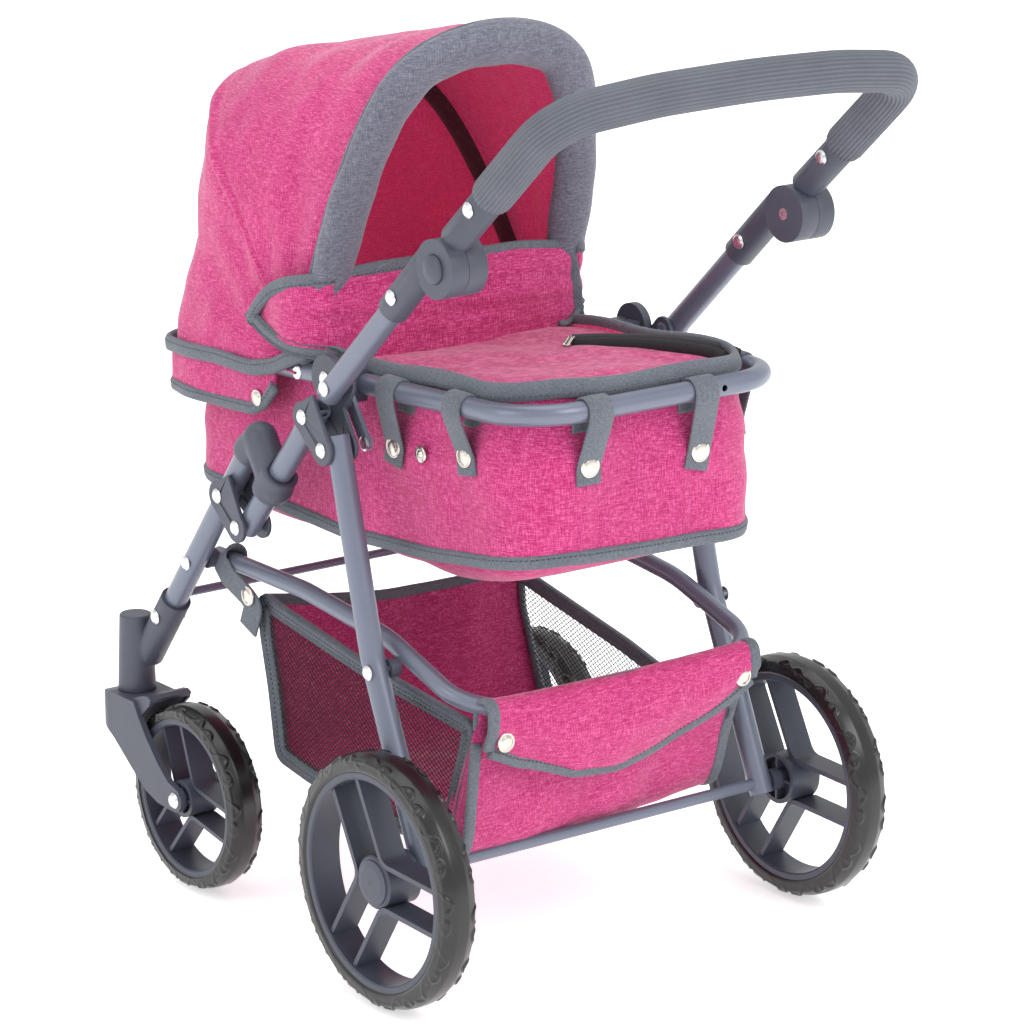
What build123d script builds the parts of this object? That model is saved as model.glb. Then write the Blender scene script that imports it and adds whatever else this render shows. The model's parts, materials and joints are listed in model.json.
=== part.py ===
from build123d import *
import math
import os

# Doll stroller with a folding frame, soft carrycot, folding canopy, angle-adjustable push handle,
# mesh basket, swivelling front casters and fixed rear wheels.
# Millimetres. +Z up, +Y to the rear (towards the person pushing), +X to the stroller's left.
# Everything is laid out from the rear axle (y = 0, ground z = 0) and then moved by Y_SHIFT,
# so that the origin is on the ground, in the middle of the footprint box.
Y_SHIFT = 101.06

# ---------------------------------------------------------------- driving dimensions
TUBE_R, TUBE_WALL = 8.0, 1.2            # front legs, middle tubes, handle tubes, rear legs
RAIL_R, RAIL_WALL = 7.0, 1.2            # carrycot rail
BASKET_R, BASKET_WALL = 6.0, 1.0        # basket tube
SIDE_X = 140.0                          # tube centre plane, each side
RAIL_X = 104.0                          # carrycot rail, half width
BASKET_X = 119.0                        # basket tube, half width
RIVET_R, RIVET_HEAD_R = 2.4, 5.0
RUN = 0.06                              # running clearance on pivots
GAP = 0.3                               # gap between neighbours on different bodies

REAR_WHEEL_R, REAR_RIM_R, REAR_W, REAR_X = 85.0, 71.3, 26.0, 170.5
FRONT_WHEEL_R, FRONT_RIM_R, FRONT_W, FRONT_X = 65.8, 55.2, 26.0, 146.4
AXLE_Z = 85.0
FRONT_AXLE_Y, FRONT_AXLE_Z = -254.5, 65.8
CASTER_Y, CASTER_X = -329.0, 146.4
REAR_AXLE_R, FRONT_BOLT_R = 4.0, 3.0

# side-view points (y, z)
LEG_LOW = (-318.0, 155.6)               # front leg, end inside the caster housing
LEG_TOP = (-197.5, 315.0)               # front leg, top end
PIV_A = (-261.2, 229.7)                 # basket tube on the front leg
R1 = (-216.0, 287.0)                    # folding bracket on the front leg
R2 = (-195.0, 269.5)                    # main fold pivot
R3 = (-115.4, 361.0)                    # upper bracket on the middle tube
R4 = (-94.2, 343.2)                     # rear leg pivot
R5 = (-122.0, 381.5)                    # rail lobe rivet
MID_LOW = (-196.5, 267.6)
MID_TOP = (-111.5, 366.0)
HTUBE_LOW = (-101.5, 376.9)
HTUBE_TOP = (-10.0, 463.8)
DISC = (31.5, 483.0)                    # handle joint
HDIR = math.radians(43.5)               # upper handle tube direction
GDIR = math.radians(42.0)               # grip direction
GREF = (65.2, 526.5)                    # point on the grip tube's axis
PIV_P = (-49.4, 205.3)                  # basket tube beside the rear leg
LEG_PTS = [(-91.5, 351.0), (-55.0, 212.0), (3.0, 78.0)]
BOW = (-180.0, 372.6)                   # canopy pivot


# ---------------------------------------------------------------- helpers
def yz(x0=0.0):
    """Sketch plane whose local x is +Y, local y is +Z and normal is +X."""
    return Plane(origin=(x0, 0, 0), x_dir=(0, 1, 0), z_dir=(1, 0, 0))


def slab(sketch, x0, x1):
    return extrude(yz(x0) * sketch, amount=x1 - x0)


def rod(p0, p1, r, ri=0.0):
    p0, p1 = Vector(*p0), Vector(*p1)
    d = p1 - p0
    pl = Plane(origin=p0, z_dir=d)
    s = Cylinder(r, d.length, align=(Align.CENTER, Align.CENTER, Align.MIN))
    if ri:
        s -= Cylinder(ri, d.length, align=(Align.CENTER, Align.CENTER, Align.MIN))
    return pl * s


def xrod(y, z, x0, x1, r):
    return rod((x0, y, z), (x1, y, z), r)


def bent(points, radii, r, ri):
    path = FilletPolyline(*points, radius=radii)
    sec = Circle(r) - Circle(ri) if ri else Circle(r)
    return sweep(Plane(origin=path @ 0, z_dir=path % 0) * sec, path=path)


def dot(c, r):
    return Pos(c[0], c[1]) * Circle(r)


def strip(a, b, r):
    """Stadium from a to b."""
    d = math.hypot(b[0] - a[0], b[1] - a[1])
    ang = math.degrees(math.atan2(b[1] - a[1], b[0] - a[0]))
    m = ((a[0] + b[0]) / 2, (a[1] + b[1]) / 2)
    return Pos(m[0], m[1]) * Rot(0, 0, ang) * Rectangle(d, 2 * r) + dot(a, r) + dot(b, r)


def poly(*pts):
    return make_face(Polyline(*pts, close=True))


def rivet(y, z, x0, x1, r=RIVET_R, head=RIVET_HEAD_R, h=1.8):
    """Domed rivet from the outer face x1 to the inner face x0."""
    shank = xrod(y, z, x0, x1, r)
    prof = make_face(Polyline((0, 0), (head, 0), (head, 0.5), (head * 0.72, h * 0.86), (head * 0.3, h), (0, h), close=True))
    cap = revolve(Plane.XZ * prof, axis=Axis.Z)
    out = Plane(origin=(x1, y, z), z_dir=(1, 0, 0)) * cap
    inn = Plane(origin=(x0, y, z), z_dir=(-1, 0, 0)) * cap
    return shank + out + inn


def unit(a):
    return (math.cos(a), math.sin(a))


def mir(s):
    return mirror(s, about=Plane.YZ)


PARTS = {}


def put(name, shape):
    shape = Pos(0, Y_SHIFT, 0) * shape
    PARTS[name] = shape


def both(stem, shape):
    put(stem + "_left", shape)
    put(stem + "_right", mir(shape))


# ---------------------------------------------------------------- wheels
def tyre(R, rb, w, x):
    h = w / 2
    prof = make_face(Polyline((rb + 0.02, -h + 1), (rb + 0.02, h - 1), (rb + 1.5, h), (R - 5, h), (R - 1.6, h - 1.8), (R, h - 6),
                              (R, -h + 6), (R - 1.6, -h + 1.8), (R - 5, -h), (rb + 1.5, -h), close=True))
    t = revolve(Plane.XZ * prof, axis=Axis.Z)
    return Pos(x, 0, 0) * Rot(0, 90, 0) * t


def rim(rb, w, x, hub_r, hub_in, hub_out, bore, a, t, depth, dome, dirs):
    """Wide outer band, hub with a domed cap, and three bent plates that form three twin spokes."""
    h = w / 2
    band = make_face(Polyline((rb - 4.6, -h + 2.2), (rb - 3.6, -h + 1.2), (rb, -h + 1.2), (rb, h - 1.2), (rb - 3.6, h - 1.2), (rb - 4.6, h - 2.2), close=True))
    body = revolve(Plane.XZ * band, axis=Axis.Z)
    hub = make_face(Polyline((0, hub_in), (hub_r, hub_in), (hub_r, hub_out - 1.2), (hub_r - 1.2, hub_out), (hub_r * 0.86, hub_out),
                             (hub_r * 0.84, hub_out + dome * 0.5), (hub_r * 0.6, hub_out + dome * 0.85), (0, hub_out + dome), close=True))
    hub = revolve(Plane.XZ * hub, axis=Axis.Z)
    ring = Pos(0, 0, hub_in) * Cylinder(hub_r - 3.0, 7.0, align=(Align.CENTER, Align.CENTER, Align.MIN))
    boss = Pos(0, 0, hub_in) * Cylinder(bore + 3.0, 7.0, align=(Align.CENTER, Align.CENTER, Align.MIN))
    hub -= ring - boss - Pos(0, 0, hub_in) * Box(2 * hub_r, 1.8, 7.0, align=(Align.CENTER, Align.CENTER, Align.MIN)) \
        - Pos(0, 0, hub_in) * Rot(0, 0, 90) * Box(2 * hub_r, 1.8, 7.0, align=(Align.CENTER, Align.CENTER, Align.MIN))
    spokes = None
    for k in range(3):
        d0, d1 = dirs[k], dirs[(k + 1) % 3]
        if d1 < d0:
            d1 += 360
        u0, u1 = unit(math.radians(d0)), unit(math.radians(d1))
        n0, n1 = unit(math.radians(d0 + 90)), unit(math.radians(d1 - 90))
        L = rb - 1.5
        q = a + t / 2
        D = q / math.sin(math.radians(60))
        b = unit(math.radians((d0 + d1) / 2))
        s = math.sqrt(L * L - q * q)
        p0 = (u0[0] * s + n0[0] * q, u0[1] * s + n0[1] * q)
        p1 = (u1[0] * s + n1[0] * q, u1[1] * s + n1[1] * q)
        c = (b[0] * D, b[1] * D)
        line = FilletPolyline(p0, c, p1, radius=hub_r * 0.62)
        v = sweep(Plane(origin=line @ 0, z_dir=line % 0) * Rectangle(t, depth), path=line)
        bb = v.bounding_box()
        if (bb.max.Z - bb.min.Z) < depth - 0.5:
            v = sweep(Plane(origin=line @ 0, z_dir=line % 0) * Rectangle(depth, t), path=line)
        spokes = v if spokes is None else spokes + v
    keep = Cylinder(rb - 0.8, w)
    body = body + (spokes & keep) + hub
    body -= Pos(0, 0, hub_in) * Cylinder(bore, hub_out - hub_in - 4.0, align=(Align.CENTER, Align.CENTER, Align.MIN))
    return Pos(x, 0, 0) * Rot(0, 90, 0) * body


REAR_HUB_IN, REAR_HUB_OUT = -15.5, 9.5
rear_rim = Pos(0, 0, AXLE_Z) * rim(REAR_RIM_R, REAR_W, REAR_X, 17.5, REAR_HUB_IN, REAR_HUB_OUT, REAR_AXLE_R + RUN, 13.0, 3.3, 19.0, 2.4,
                                   (-2 + 90, 118 + 90, 238 + 90))
rear_tyre = Pos(0, 0, AXLE_Z) * tyre(REAR_WHEEL_R, REAR_RIM_R, REAR_W, REAR_X)
both("rear_rim", rear_rim)
both("rear_tyre", rear_tyre)

fr = rim(FRONT_RIM_R, FRONT_W, 0.0, 13.0, -13.0, 10.0, FRONT_BOLT_R + RUN, 9.8, 2.8, 18.0, 1.5, (80, 200, 320))
fr -= xrod(0, 0, -20, 20, FRONT_BOLT_R + RUN)
fr = mir(fr)
front_rim = Pos(FRONT_X, FRONT_AXLE_Y, FRONT_AXLE_Z) * fr
front_tyre = Pos(0, FRONT_AXLE_Y, FRONT_AXLE_Z) * tyre(FRONT_WHEEL_R, FRONT_RIM_R, FRONT_W, FRONT_X)
both("front_rim", front_rim)
both("front_tyre", front_tyre)

# ---------------------------------------------------------------- front casters
CZ0, CZ1 = 124.0, 178.0                  # caster barrel, bottom and top
ARM_IN = 14.7                            # arm inner faces, from the wheel's middle plane
ARM_T = 4.6
crown_sk = poly((-344, 99), (-351, 110), (-348, 121), (-336, 123.6), (-312, 123.6), (-303, 126.6), (-296, 129.4), (-290, 130.4), (-286, 128.6),
                (-288, 124), (-296, 117), (-306, 106), (-312, 96), (-320, 92), (-330, 91))
crown = slab(crown_sk, FRONT_X - ARM_IN - 2.0, FRONT_X + ARM_IN + 2.0)
crown -= Pos(0, FRONT_AXLE_Y, FRONT_AXLE_Z) * xrod(0, 0, FRONT_X - ARM_IN, FRONT_X + ARM_IN, FRONT_WHEEL_R + 2.6)
arm_sk = poly((-351, 110), (-344, 99), (-330, 91), (-310, 76.5), (-291, 63.5), (-276, 58.5), (-261, 57.6), (-253, 57.6), (-247.5, 62), (-246.5, 69), (-250, 73.5), (-262, 77),
              (-274, 86.5), (-288, 101), (-298, 114), (-304, 123.6), (-336, 123.6), (-348, 121)) + dot((FRONT_AXLE_Y, FRONT_AXLE_Z), 8.3)
fork = crown + slab(arm_sk, FRONT_X + ARM_IN, FRONT_X + ARM_IN + ARM_T) + slab(arm_sk, FRONT_X - ARM_IN - ARM_T, FRONT_X - ARM_IN)
fork = fork & extrude(Pos(FRONT_X, -281.0) * RectangleRounded(2 * (ARM_IN + ARM_T), 140.0, 14.0), amount=160.0)
fork -= xrod(FRONT_AXLE_Y, FRONT_AXLE_Z, FRONT_X - 30, FRONT_X + 30, FRONT_BOLT_R + RUN)
fork -= rod((CASTER_X, CASTER_Y, 80), (CASTER_X, CASTER_Y, 130), 4.0)
both("fork", fork)
bolt = rivet(FRONT_AXLE_Y, FRONT_AXLE_Z, FRONT_X - ARM_IN - ARM_T, FRONT_X + ARM_IN + ARM_T, FRONT_BOLT_R, 5.6, 2.4)
pin = rod((CASTER_X, CASTER_Y, 88), (CASTER_X, CASTER_Y, 168), 4.0)
both("caster_hardware", Compound(children=[bolt, pin]))

# caster housing: tapered barrel and an angled socket for the front leg
f_dir = Vector(0, LEG_TOP[0] - LEG_LOW[0], LEG_TOP[1] - LEG_LOW[1]).normalized()
barrel = Pos(CASTER_X, CASTER_Y, CZ0 + 0.1) * Cone(13.2, 11.2, CZ1 - CZ0 - 0.1, align=(Align.CENTER, Align.CENTER, Align.MIN))
barrel = fillet(barrel.edges().sort_by(Axis.Z)[-1], 1.5)
fl = Vector(SIDE_X, *LEG_LOW)
sock_top = fl + f_dir * 52.0
housing = barrel + rod(tuple(fl - f_dir * 8), tuple(sock_top), 10.6)
housing -= rod(tuple(fl), tuple(sock_top + f_dir * 5), TUBE_R + 0.05)
housing -= rod((CASTER_X, CASTER_Y, 100), (CASTER_X, CASTER_Y, 169), 4.0 + RUN)
housing -= Pos(CASTER_X, CASTER_Y, CZ0 - 30.0) * Box(60, 60, 60.0, align=(Align.CENTER, Align.CENTER, Align.CENTER))
sr = fl + f_dir * 35.0
housing -= xrod(sr.Y, sr.Z, 120, 160, RIVET_R + 0.02)
both("caster_housing", housing)

# ---------------------------------------------------------------- front frame
leg = rod(tuple(fl), (SIDE_X, *LEG_TOP), TUBE_R, TUBE_R - TUBE_WALL)
cap = Plane(origin=(SIDE_X, *LEG_TOP), z_dir=f_dir) * (Cylinder(TUBE_R, 1.6, align=(Align.CENTER, Align.CENTER, Align.MIN)))
leg += cap
for q in (R1, PIV_A, (sr.Y, sr.Z)):
    leg -= xrod(q[0], q[1], 120, 160, RIVET_R + 0.02)
bar_at = Vector(SIDE_X, -283.6, 201.0)
leg -= xrod(bar_at.Y, bar_at.Z, 120, SIDE_X, 3.02)
both("front_leg", leg)
put("front_crossbar", xrod(bar_at.Y, bar_at.Z, -(SIDE_X - 4), SIDE_X - 4, 3.0))

PL_T = 3.0
PX0, PX1 = SIDE_X - TUBE_R - GAP - PL_T, SIDE_X + TUBE_R + GAP + PL_T   # bracket plates, inner and outer faces


def bracket(a, b, tip, r=10.2):
    d = Vector(b[0] - a[0], b[1] - a[1]).normalized()
    n = Vector(-d.Y, d.X)
    sk = strip(a, b, r)
    side = -1 if (tip[0] - a[0]) * n.X + (tip[1] - a[1]) * n.Y < 0 else 1
    e = (b[0] + n.X * r * side, b[1] + n.Y * r * side)
    sk = sk + poly(a, tip, e, b) + strip(a, a, r)
    sk = sk + poly((a[0] - n.X * r * side * 0.0 - d.X * r, a[1] - n.Y * r * side * 0.0 - d.Y * r), tip, b)
    return sk


b1 = bracket(R1, R2, (-203.0, 304.0))
pl = slab(b1, PX1 - PL_T, PX1) + slab(b1, PX0, PX0 + PL_T)
plates = slab(b1, PX1 - PL_T, PX1), slab(b1, PX0, PX0 + PL_T)
fb = []
for s in plates:
    for q in (R1, R2):
        s -= xrod(q[0], q[1], 120, 160, RIVET_R + (0.02 if q is R1 else RUN))
    fb.append(s)
both("fold_bracket", Compound(children=fb))

front_riv = [rivet(sr.Y, sr.Z, SIDE_X - 10.6, SIDE_X + 10.6), rivet(*R1, PX0, PX1), rivet(*R2, PX0, PX1)]
# pivot A: pin through the leg, with a head outside and a head inside the basket tube
front_riv.append(rivet(*PIV_A, BASKET_X - BASKET_R, SIDE_X + TUBE_R))
put("front_rivets", Compound(children=front_riv + [mir(s) for s in front_riv]))

# ---------------------------------------------------------------- upper frame
mid = rod((SIDE_X, *MID_LOW), (SIDE_X, *MID_TOP), TUBE_R, TUBE_R - TUBE_WALL)
for q in (R2, R3):
    mid -= xrod(q[0], q[1], 120, 160, RIVET_R + RUN)
both("middle_tube", mid)

ht = rod((SIDE_X, *HTUBE_LOW), (SIDE_X, *HTUBE_TOP), TUBE_R, TUBE_R - TUBE_WALL)
hu = unit(HDIR)
H2_RIV = (HTUBE_LOW[0] + hu[0] * 9, HTUBE_LOW[1] + hu[1] * 9)
ht -= xrod(H2_RIV[0], H2_RIV[1], 120, 160, RIVET_R + 0.02)
KN_RIV = (-17.5, 456.4)
ht -= xrod(KN_RIV[0], KN_RIV[1], 120, 160, RIVET_R + 0.02)
both("handle_tube", ht)

b2 = bracket(R3, R4, (-103.8, 378.0)) + strip(R3, H2_RIV, 9.0)
pls = []
for x0, x1 in ((PX1 - PL_T, PX1), (PX0, PX0 + PL_T)):
    s = slab(b2 if x0 < SIDE_X else bracket(R3, R4, (-103.8, 378.0)), x0, x1)
    for q in (R3, R4, H2_RIV):
        s -= xrod(q[0], q[1], 120, 160, RIVET_R + 0.02 if q is not R4 else RIVET_R + RUN)
    pls.append(s)
both("upper_bracket", Compound(children=pls))

# rail lobe: rounded plate inside the bracket that clamps the carrycot rail
LX0, LX1 = 97.0, PX0 - 0.02
lobe_sk = strip(R5, (-108.0, 372.0), 9.0) + dot((-121.0, 382.0), 15.5)
lobe = slab(lobe_sk, LX1 - 6.0, LX1)
rail_z = lambda y: 376.2 + (y + 122.0) * 0.058
clamp = slab(dot((-121.0, rail_z(-121.0)), 10.5) + Pos(-121.0, rail_z(-121.0)) * Rectangle(21.0, 21.0), RAIL_X - 1.0, LX1 - 6.0)
lobe = lobe + clamp
rail_pts = [(RAIL_X, -205.0, rail_z(-205.0)), (RAIL_X, 63.0, rail_z(63.0)), (-RAIL_X, 63.0, rail_z(63.0)), (-RAIL_X, -205.0, rail_z(-205.0))]
rail_hole = rod((RAIL_X, -205.0, rail_z(-205.0)), (RAIL_X, 63.0, rail_z(63.0)), RAIL_R + 0.03)
lobe -= rail_hole
lobe -= xrod(R5[0], R5[1], 118, 140, RIVET_R + 0.02)
lobe -= xrod(R5[0], R5[1], LX1 - 9.0, LX1 - 6.0, RIVET_HEAD_R + 0.4)
lobe -= slab(strip((-107.5, 374.0), (-87.0, 345.0), 5.2), LX1 - 9.9, LX1 - 6.0)
lobe -= xrod(R3[0], R3[1], LX1 - 8, LX1, RIVET_HEAD_R + 0.6)
lobe -= xrod(H2_RIV[0], H2_RIV[1], LX1 - 8, LX1, RIVET_HEAD_R + 0.6)
lobe = lobe.solids().sort_by(SortBy.VOLUME)[-1]
both("rail_lobe", lobe)

rail = bent(rail_pts, 42.0, RAIL_R, RAIL_R - RAIL_WALL)
HOLE_X = 46.0
for sx in (-1, 1):
    rail -= rod((sx * HOLE_X, 40, rail_z(63.0)), (sx * HOLE_X, 80, rail_z(63.0)), 2.2)
both_bow = xrod(BOW[0], BOW[1], 70, 116, RIVET_R + 0.02)
both_bow += xrod(BOW[0], BOW[1], RAIL_X + RAIL_R - 0.6, 116, RIVET_HEAD_R + 0.2)
rail -= both_bow
rail -= mir(both_bow)
put("carrycot_rail", rail)
rail2_pts = [(RAIL_X, -205.3, rail_z(-205.3)), (RAIL_X, -345.0, rail_z(-345.0)), (-RAIL_X, -345.0, rail_z(-345.0)), (-RAIL_X, -205.3, rail_z(-205.3))]
rail2 = bent(rail2_pts, 50.0, RAIL_R, RAIL_R - RAIL_WALL)
put("front_rail", rail2)

# support bar: flat link from the lobe down to the inner end of the rear leg pivot
link_sk = strip((-107.5, 374.0), (-87.0, 345.0), 4.6)
link = slab(link_sk, LX1 - 9.4, LX1 - 6.3)
link -= xrod(-87.0, 345.0, 100, 140, RIVET_R + 0.02)
put("support_bars", Compound(children=[link, mir(link)]))

# lock sleeve: slides on the middle tube and cradles the top end of the front leg
m_dir = Vector(0, MID_TOP[0] - MID_LOW[0], MID_TOP[1] - MID_LOW[1]).normalized()
SL = Vector(SIDE_X, -165.0, MID_LOW[1] + (-165.0 - MID_LOW[0]) * (MID_TOP[1] - MID_LOW[1]) / (MID_TOP[0] - MID_LOW[0]))
s0, s1 = SL - m_dir * 9.0, SL + m_dir * 13.0
collar = rod(tuple(s0), tuple(s1), 12.6)
lever = collar
for q0, q1, rr in (((-180.0, 332.0), (-162.0, 303.0), 11.6), ((-180.0, 332.0), (-192.5, 321.5), 11.2)):
    lever = lever + rod((SIDE_X, *q0), (SIDE_X, *q1), rr) + Pos(SIDE_X, *q0) * Sphere(rr + 0.01) + Pos(SIDE_X, *q1) * Sphere(rr + 0.01)
lever -= rod(tuple(SL - m_dir * 60), tuple(SL + m_dir * 60), TUBE_R + RUN)
lv = Vector(SIDE_X, *LEG_TOP)
pocket = rod(tuple(lv - f_dir * 60), tuple(lv + f_dir * 4.2), TUBE_R + 0.7)
sweep_out = [pocket]
for k in range(1, 6):
    sweep_out.append(Pos(0, -3.5 * k, -0.8 * k) * pocket)
for s in sweep_out:
    lever -= s
solids = lever.solids().sort_by(SortBy.VOLUME)
lever = solids[-1]
both("lock_sleeve", lever)

# carrycot rail, lobes and bracket rivets
upper_riv = [rivet(*R3, PX0, PX1), rivet(*R4, PX0, PX1), rivet(*H2_RIV, PX0, SIDE_X + TUBE_R, h=0.9),
             rivet(*KN_RIV, SIDE_X - 10.4, SIDE_X + 10.4),
             rivet(*BOW, 79.6, RAIL_X + RAIL_R - 0.6, h=1.1)]
pin5 = rivet(*R5, LX1 - 6.0, LX1)
pin4 = rivet(-87.0, 345.0, LX1 - 9.4, LX1 - 6.3, h=1.4)

# ---------------------------------------------------------------- handle joints
KX0, KXM, KX1 = SIDE_X - 14.2, SIDE_X, SIDE_X + 13.2
DR = 18.6


def knuckle_tube(ref, ang, s0, s1, r):
    u = unit(ang)
    return rod((SIDE_X, ref[0] + u[0] * s0, ref[1] + u[1] * s0), (SIDE_X, ref[0] + u[0] * s1, ref[1] + u[1] * s1), r)


# lower half: inner disc and the socket on the handle tube
lref = HTUBE_TOP
lower = xrod(*DISC, KX0, KXM - GAP / 2, DR)
sock = knuckle_tube(lref, HDIR, -26.0, 34.0, 10.4)
keep_l = slab(poly((-60, 380), (-60, 470), (-12, 506), (12, 498), (31.5, 501.4), (31.5, 464.6), (40, 440)), 100, 180)
lower = lower + (sock & keep_l)
lower -= xrod(*DISC, KXM - GAP / 2, KX1 + 5, DR + GAP)
lower -= knuckle_tube(lref, HDIR, -40.0, 0.02, TUBE_R + 0.05)
lower -= xrod(*KN_RIV, 120, 160, RIVET_R + 0.02)
lower -= xrod(*DISC, 120, 160, 4.0 + RUN)
both("lower_knuckle", lower.solids().sort_by(SortBy.VOLUME)[-1])

# upper half: outer disc and the socket for the handle bar
UP_RIV = (62.7, 524.2)
UREF = (GREF[0] - unit(GDIR)[0] * 22.0, GREF[1] - unit(GDIR)[1] * 22.0)
upper = xrod(*DISC, KXM + GAP / 2, KX1, DR)
usock = knuckle_tube(UREF, GDIR, -16.0, 29.0, 10.4)
keep_u = slab(poly((16, 500), (36, 516), (60, 545), (100, 560), (100, 530), (56, 488), (44, 470), (31.5, 464.6), (31.5, 483)), 100, 180)
upper = upper + (usock & keep_u)
upper -= xrod(*DISC, KX0 - 5, KXM + GAP / 2, DR + GAP)
upper -= knuckle_tube(UREF, GDIR, 0.0, 40.0, TUBE_R + 0.03)
upper -= xrod(*UP_RIV, 120, 160, RIVET_R + 0.02)
upper -= xrod(*DISC, KX1 - 7.0, KX1 + 1, 9.4)
upper = upper.solids().sort_by(SortBy.VOLUME)[-1]
both("upper_knuckle", upper)
pivot_pin = xrod(*DISC, KX0 - 0.6, KXM + GAP / 2, 4.0)
button = xrod(*DISC, KX1 - 3.4, KX1 + 1.0, 9.2)
dome = revolve(Plane.XZ * make_face(Polyline((0, 0), (9.2, 0), (8.6, 1.2), (6.6, 2.4), (3.6, 3.1), (0, 3.4), close=True)), axis=Axis.Z)
button += Plane(origin=(KX1 + 1.0, *DISC), z_dir=(1, 0, 0)) * dome
both("release_button", button)

upper_riv += [pivot_pin]
put("frame_rivets", Compound(children=upper_riv + [mir(s) for s in upper_riv]))
put("rail_rivets", Compound(children=[pin5, pin4, mir(pin5), mir(pin4)]))

# handle bar and grip
gu = unit(GDIR)


def hb(x, s):
    return (x, GREF[0] + gu[0] * s, GREF[1] + gu[1] * s)


bar_pts = [hb(SIDE_X, -22.0), hb(SIDE_X, 92.0), hb(70.0, 104.5), hb(0.0, 107.5), hb(-70.0, 104.5), hb(-SIDE_X, 92.0), hb(-SIDE_X, -22.0)]
bar_path_r = [32.0, 180.0, 600.0, 180.0, 32.0]
bar = bent(bar_pts, bar_path_r, TUBE_R, TUBE_R - TUBE_WALL)
brh = xrod(*UP_RIV, 120, 160, RIVET_R + 0.02)
bar -= brh
bar -= mir(brh)
put("handle_bar", bar)
grip_pts = [hb(SIDE_X, 8.0)] + bar_pts[1:-1] + [hb(-SIDE_X, 8.0)]
grip = bent(grip_pts, bar_path_r, 13.2, TUBE_R + 0.02)
put("handle_grip", grip)
hr = rivet(*UP_RIV, SIDE_X - 10.4, SIDE_X + 10.4)
put("handle_rivets", Compound(children=[hr, mir(hr)]))

# ---------------------------------------------------------------- rear frame
lp = [(SIDE_X, *q) for q in LEG_PTS]
rl = bent(lp, 60.0, TUBE_R, TUBE_R - TUBE_WALL)
rl += Plane(origin=lp[0], z_dir=Vector(*lp[0]) - Vector(*lp[1])) * Cylinder(TUBE_R, 1.4, align=(Align.CENTER, Align.CENTER, Align.MIN))
rl -= xrod(*R4, 120, 160, RIVET_R + RUN)
rl -= xrod(*PIV_P, 120, 160, RIVET_R + 0.02)
rl -= xrod(0, AXLE_Z, 120, 160, REAR_AXLE_R + 0.03)
both("rear_leg", rl)
axle = xrod(0, AXLE_Z, -(REAR_X + 4.0), REAR_X + 4.0, REAR_AXLE_R)
put("rear_axle", axle)
sp = xrod(0, AXLE_Z, SIDE_X + TUBE_R - 0.6, REAR_X + REAR_HUB_IN - 0.3, 7.5) - xrod(0, AXLE_Z, 120, 180, REAR_AXLE_R + 0.03)
legcut = rod(lp[1], lp[2], TUBE_R)
sp -= legcut
PBX = BASKET_X + BASKET_R + GAP
boss = xrod(*PIV_P, PBX, SIDE_X - TUBE_R + 0.8, 6.2)
boss -= bent(lp, 60.0, TUBE_R, 0)
boss -= xrod(*PIV_P, PBX + 3.0, 160, RIVET_R + 0.02)
put("rear_spacers", Compound(children=[sp, mir(sp), boss, mir(boss)]))
pr_ = rivet(*PIV_P, PBX + 3.0, SIDE_X + TUBE_R)
# single outer head and plain shank
pr_ = pr_ - xrod(*PIV_P, 100, PBX + 3.0, 8.0)
put("rear_rivets", Compound(children=[pr_, mir(pr_)]))

# ---------------------------------------------------------------- basket
bz = [(-261.2, 229.7), (-160.0, 229.0), (-66.0, 219.0), (24.0, 190.0)]
bpts = [(BASKET_X, bz[0][0] - 4, bz[0][1])] + [(BASKET_X, *q) for q in bz[1:]] + [(-BASKET_X, *q) for q in reversed(bz[1:])] + [(-BASKET_X, bz[0][0] - 4, bz[0][1])]
bt = bent(bpts, [120.0, 120.0, 34.0, 34.0, 120.0, 120.0], BASKET_R, BASKET_R - BASKET_WALL)
for s in (xrod(*PIV_A, 100, 160, RIVET_R + RUN),):
    bt -= s
    bt -= mir(s)
put("basket_tube", bt)
bossA = xrod(*PIV_A, BASKET_X + BASKET_R - 1.0, SIDE_X - TUBE_R - GAP, 6.4) - xrod(*PIV_A, 100, 160, RIVET_R + RUN)
bossA -= bent(bpts, [120.0, 120.0, 34.0, 34.0, 120.0, 120.0], BASKET_R, 0)
bossA -= rod(tuple(fl), (SIDE_X, *LEG_TOP), TUBE_R + GAP)
put("basket_spacers", Compound(children=[bossA, mir(bossA)]))

# fabric basket: open-topped tub that hangs from the tube
BX = 110.5
bo = poly((-228, 213), (-222, 178), (-203, 110), (-188, 98), (-60, 93), (14, 89.6), (22, 96), (23, 176), (10, 181), (-66, 208), (-160, 217.5))
bi = poly((-226, 260), (-219.2, 178), (-200.6, 111.5), (-187, 101), (-60, 96), (13, 92.6), (19, 97.5), (19.8, 260))
tub = slab(bo, -BX, BX)
tub -= slab(bi, -BX + 2.6, BX - 2.6)
put("basket_fabric", tub)

# ---------------------------------------------------------------- carrycot
CX, CY0, CY1 = 96.2, -335.0, 54.0
cot_out = Pos(0, (CY0 + CY1) / 2) * RectangleRounded(2 * CX, CY1 - CY0, 44.0)
cot_in = Pos(0, (CY0 + CY1) / 2) * RectangleRounded(2 * (CX - 2.6), CY1 - CY0 - 5.2, 41.4)
ZB = 258.0
cot = extrude(Plane(origin=(0, 0, ZB)) * cot_out, amount=150.0) - extrude(Plane(origin=(0, 0, ZB + 9.0)) * cot_in, amount=150.0)
top = slab(poly((-400, rail_z(-400) + 11), (100, rail_z(100) + 11), (100, 500), (-400, 500)), -130, 130)
cot -= top
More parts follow.
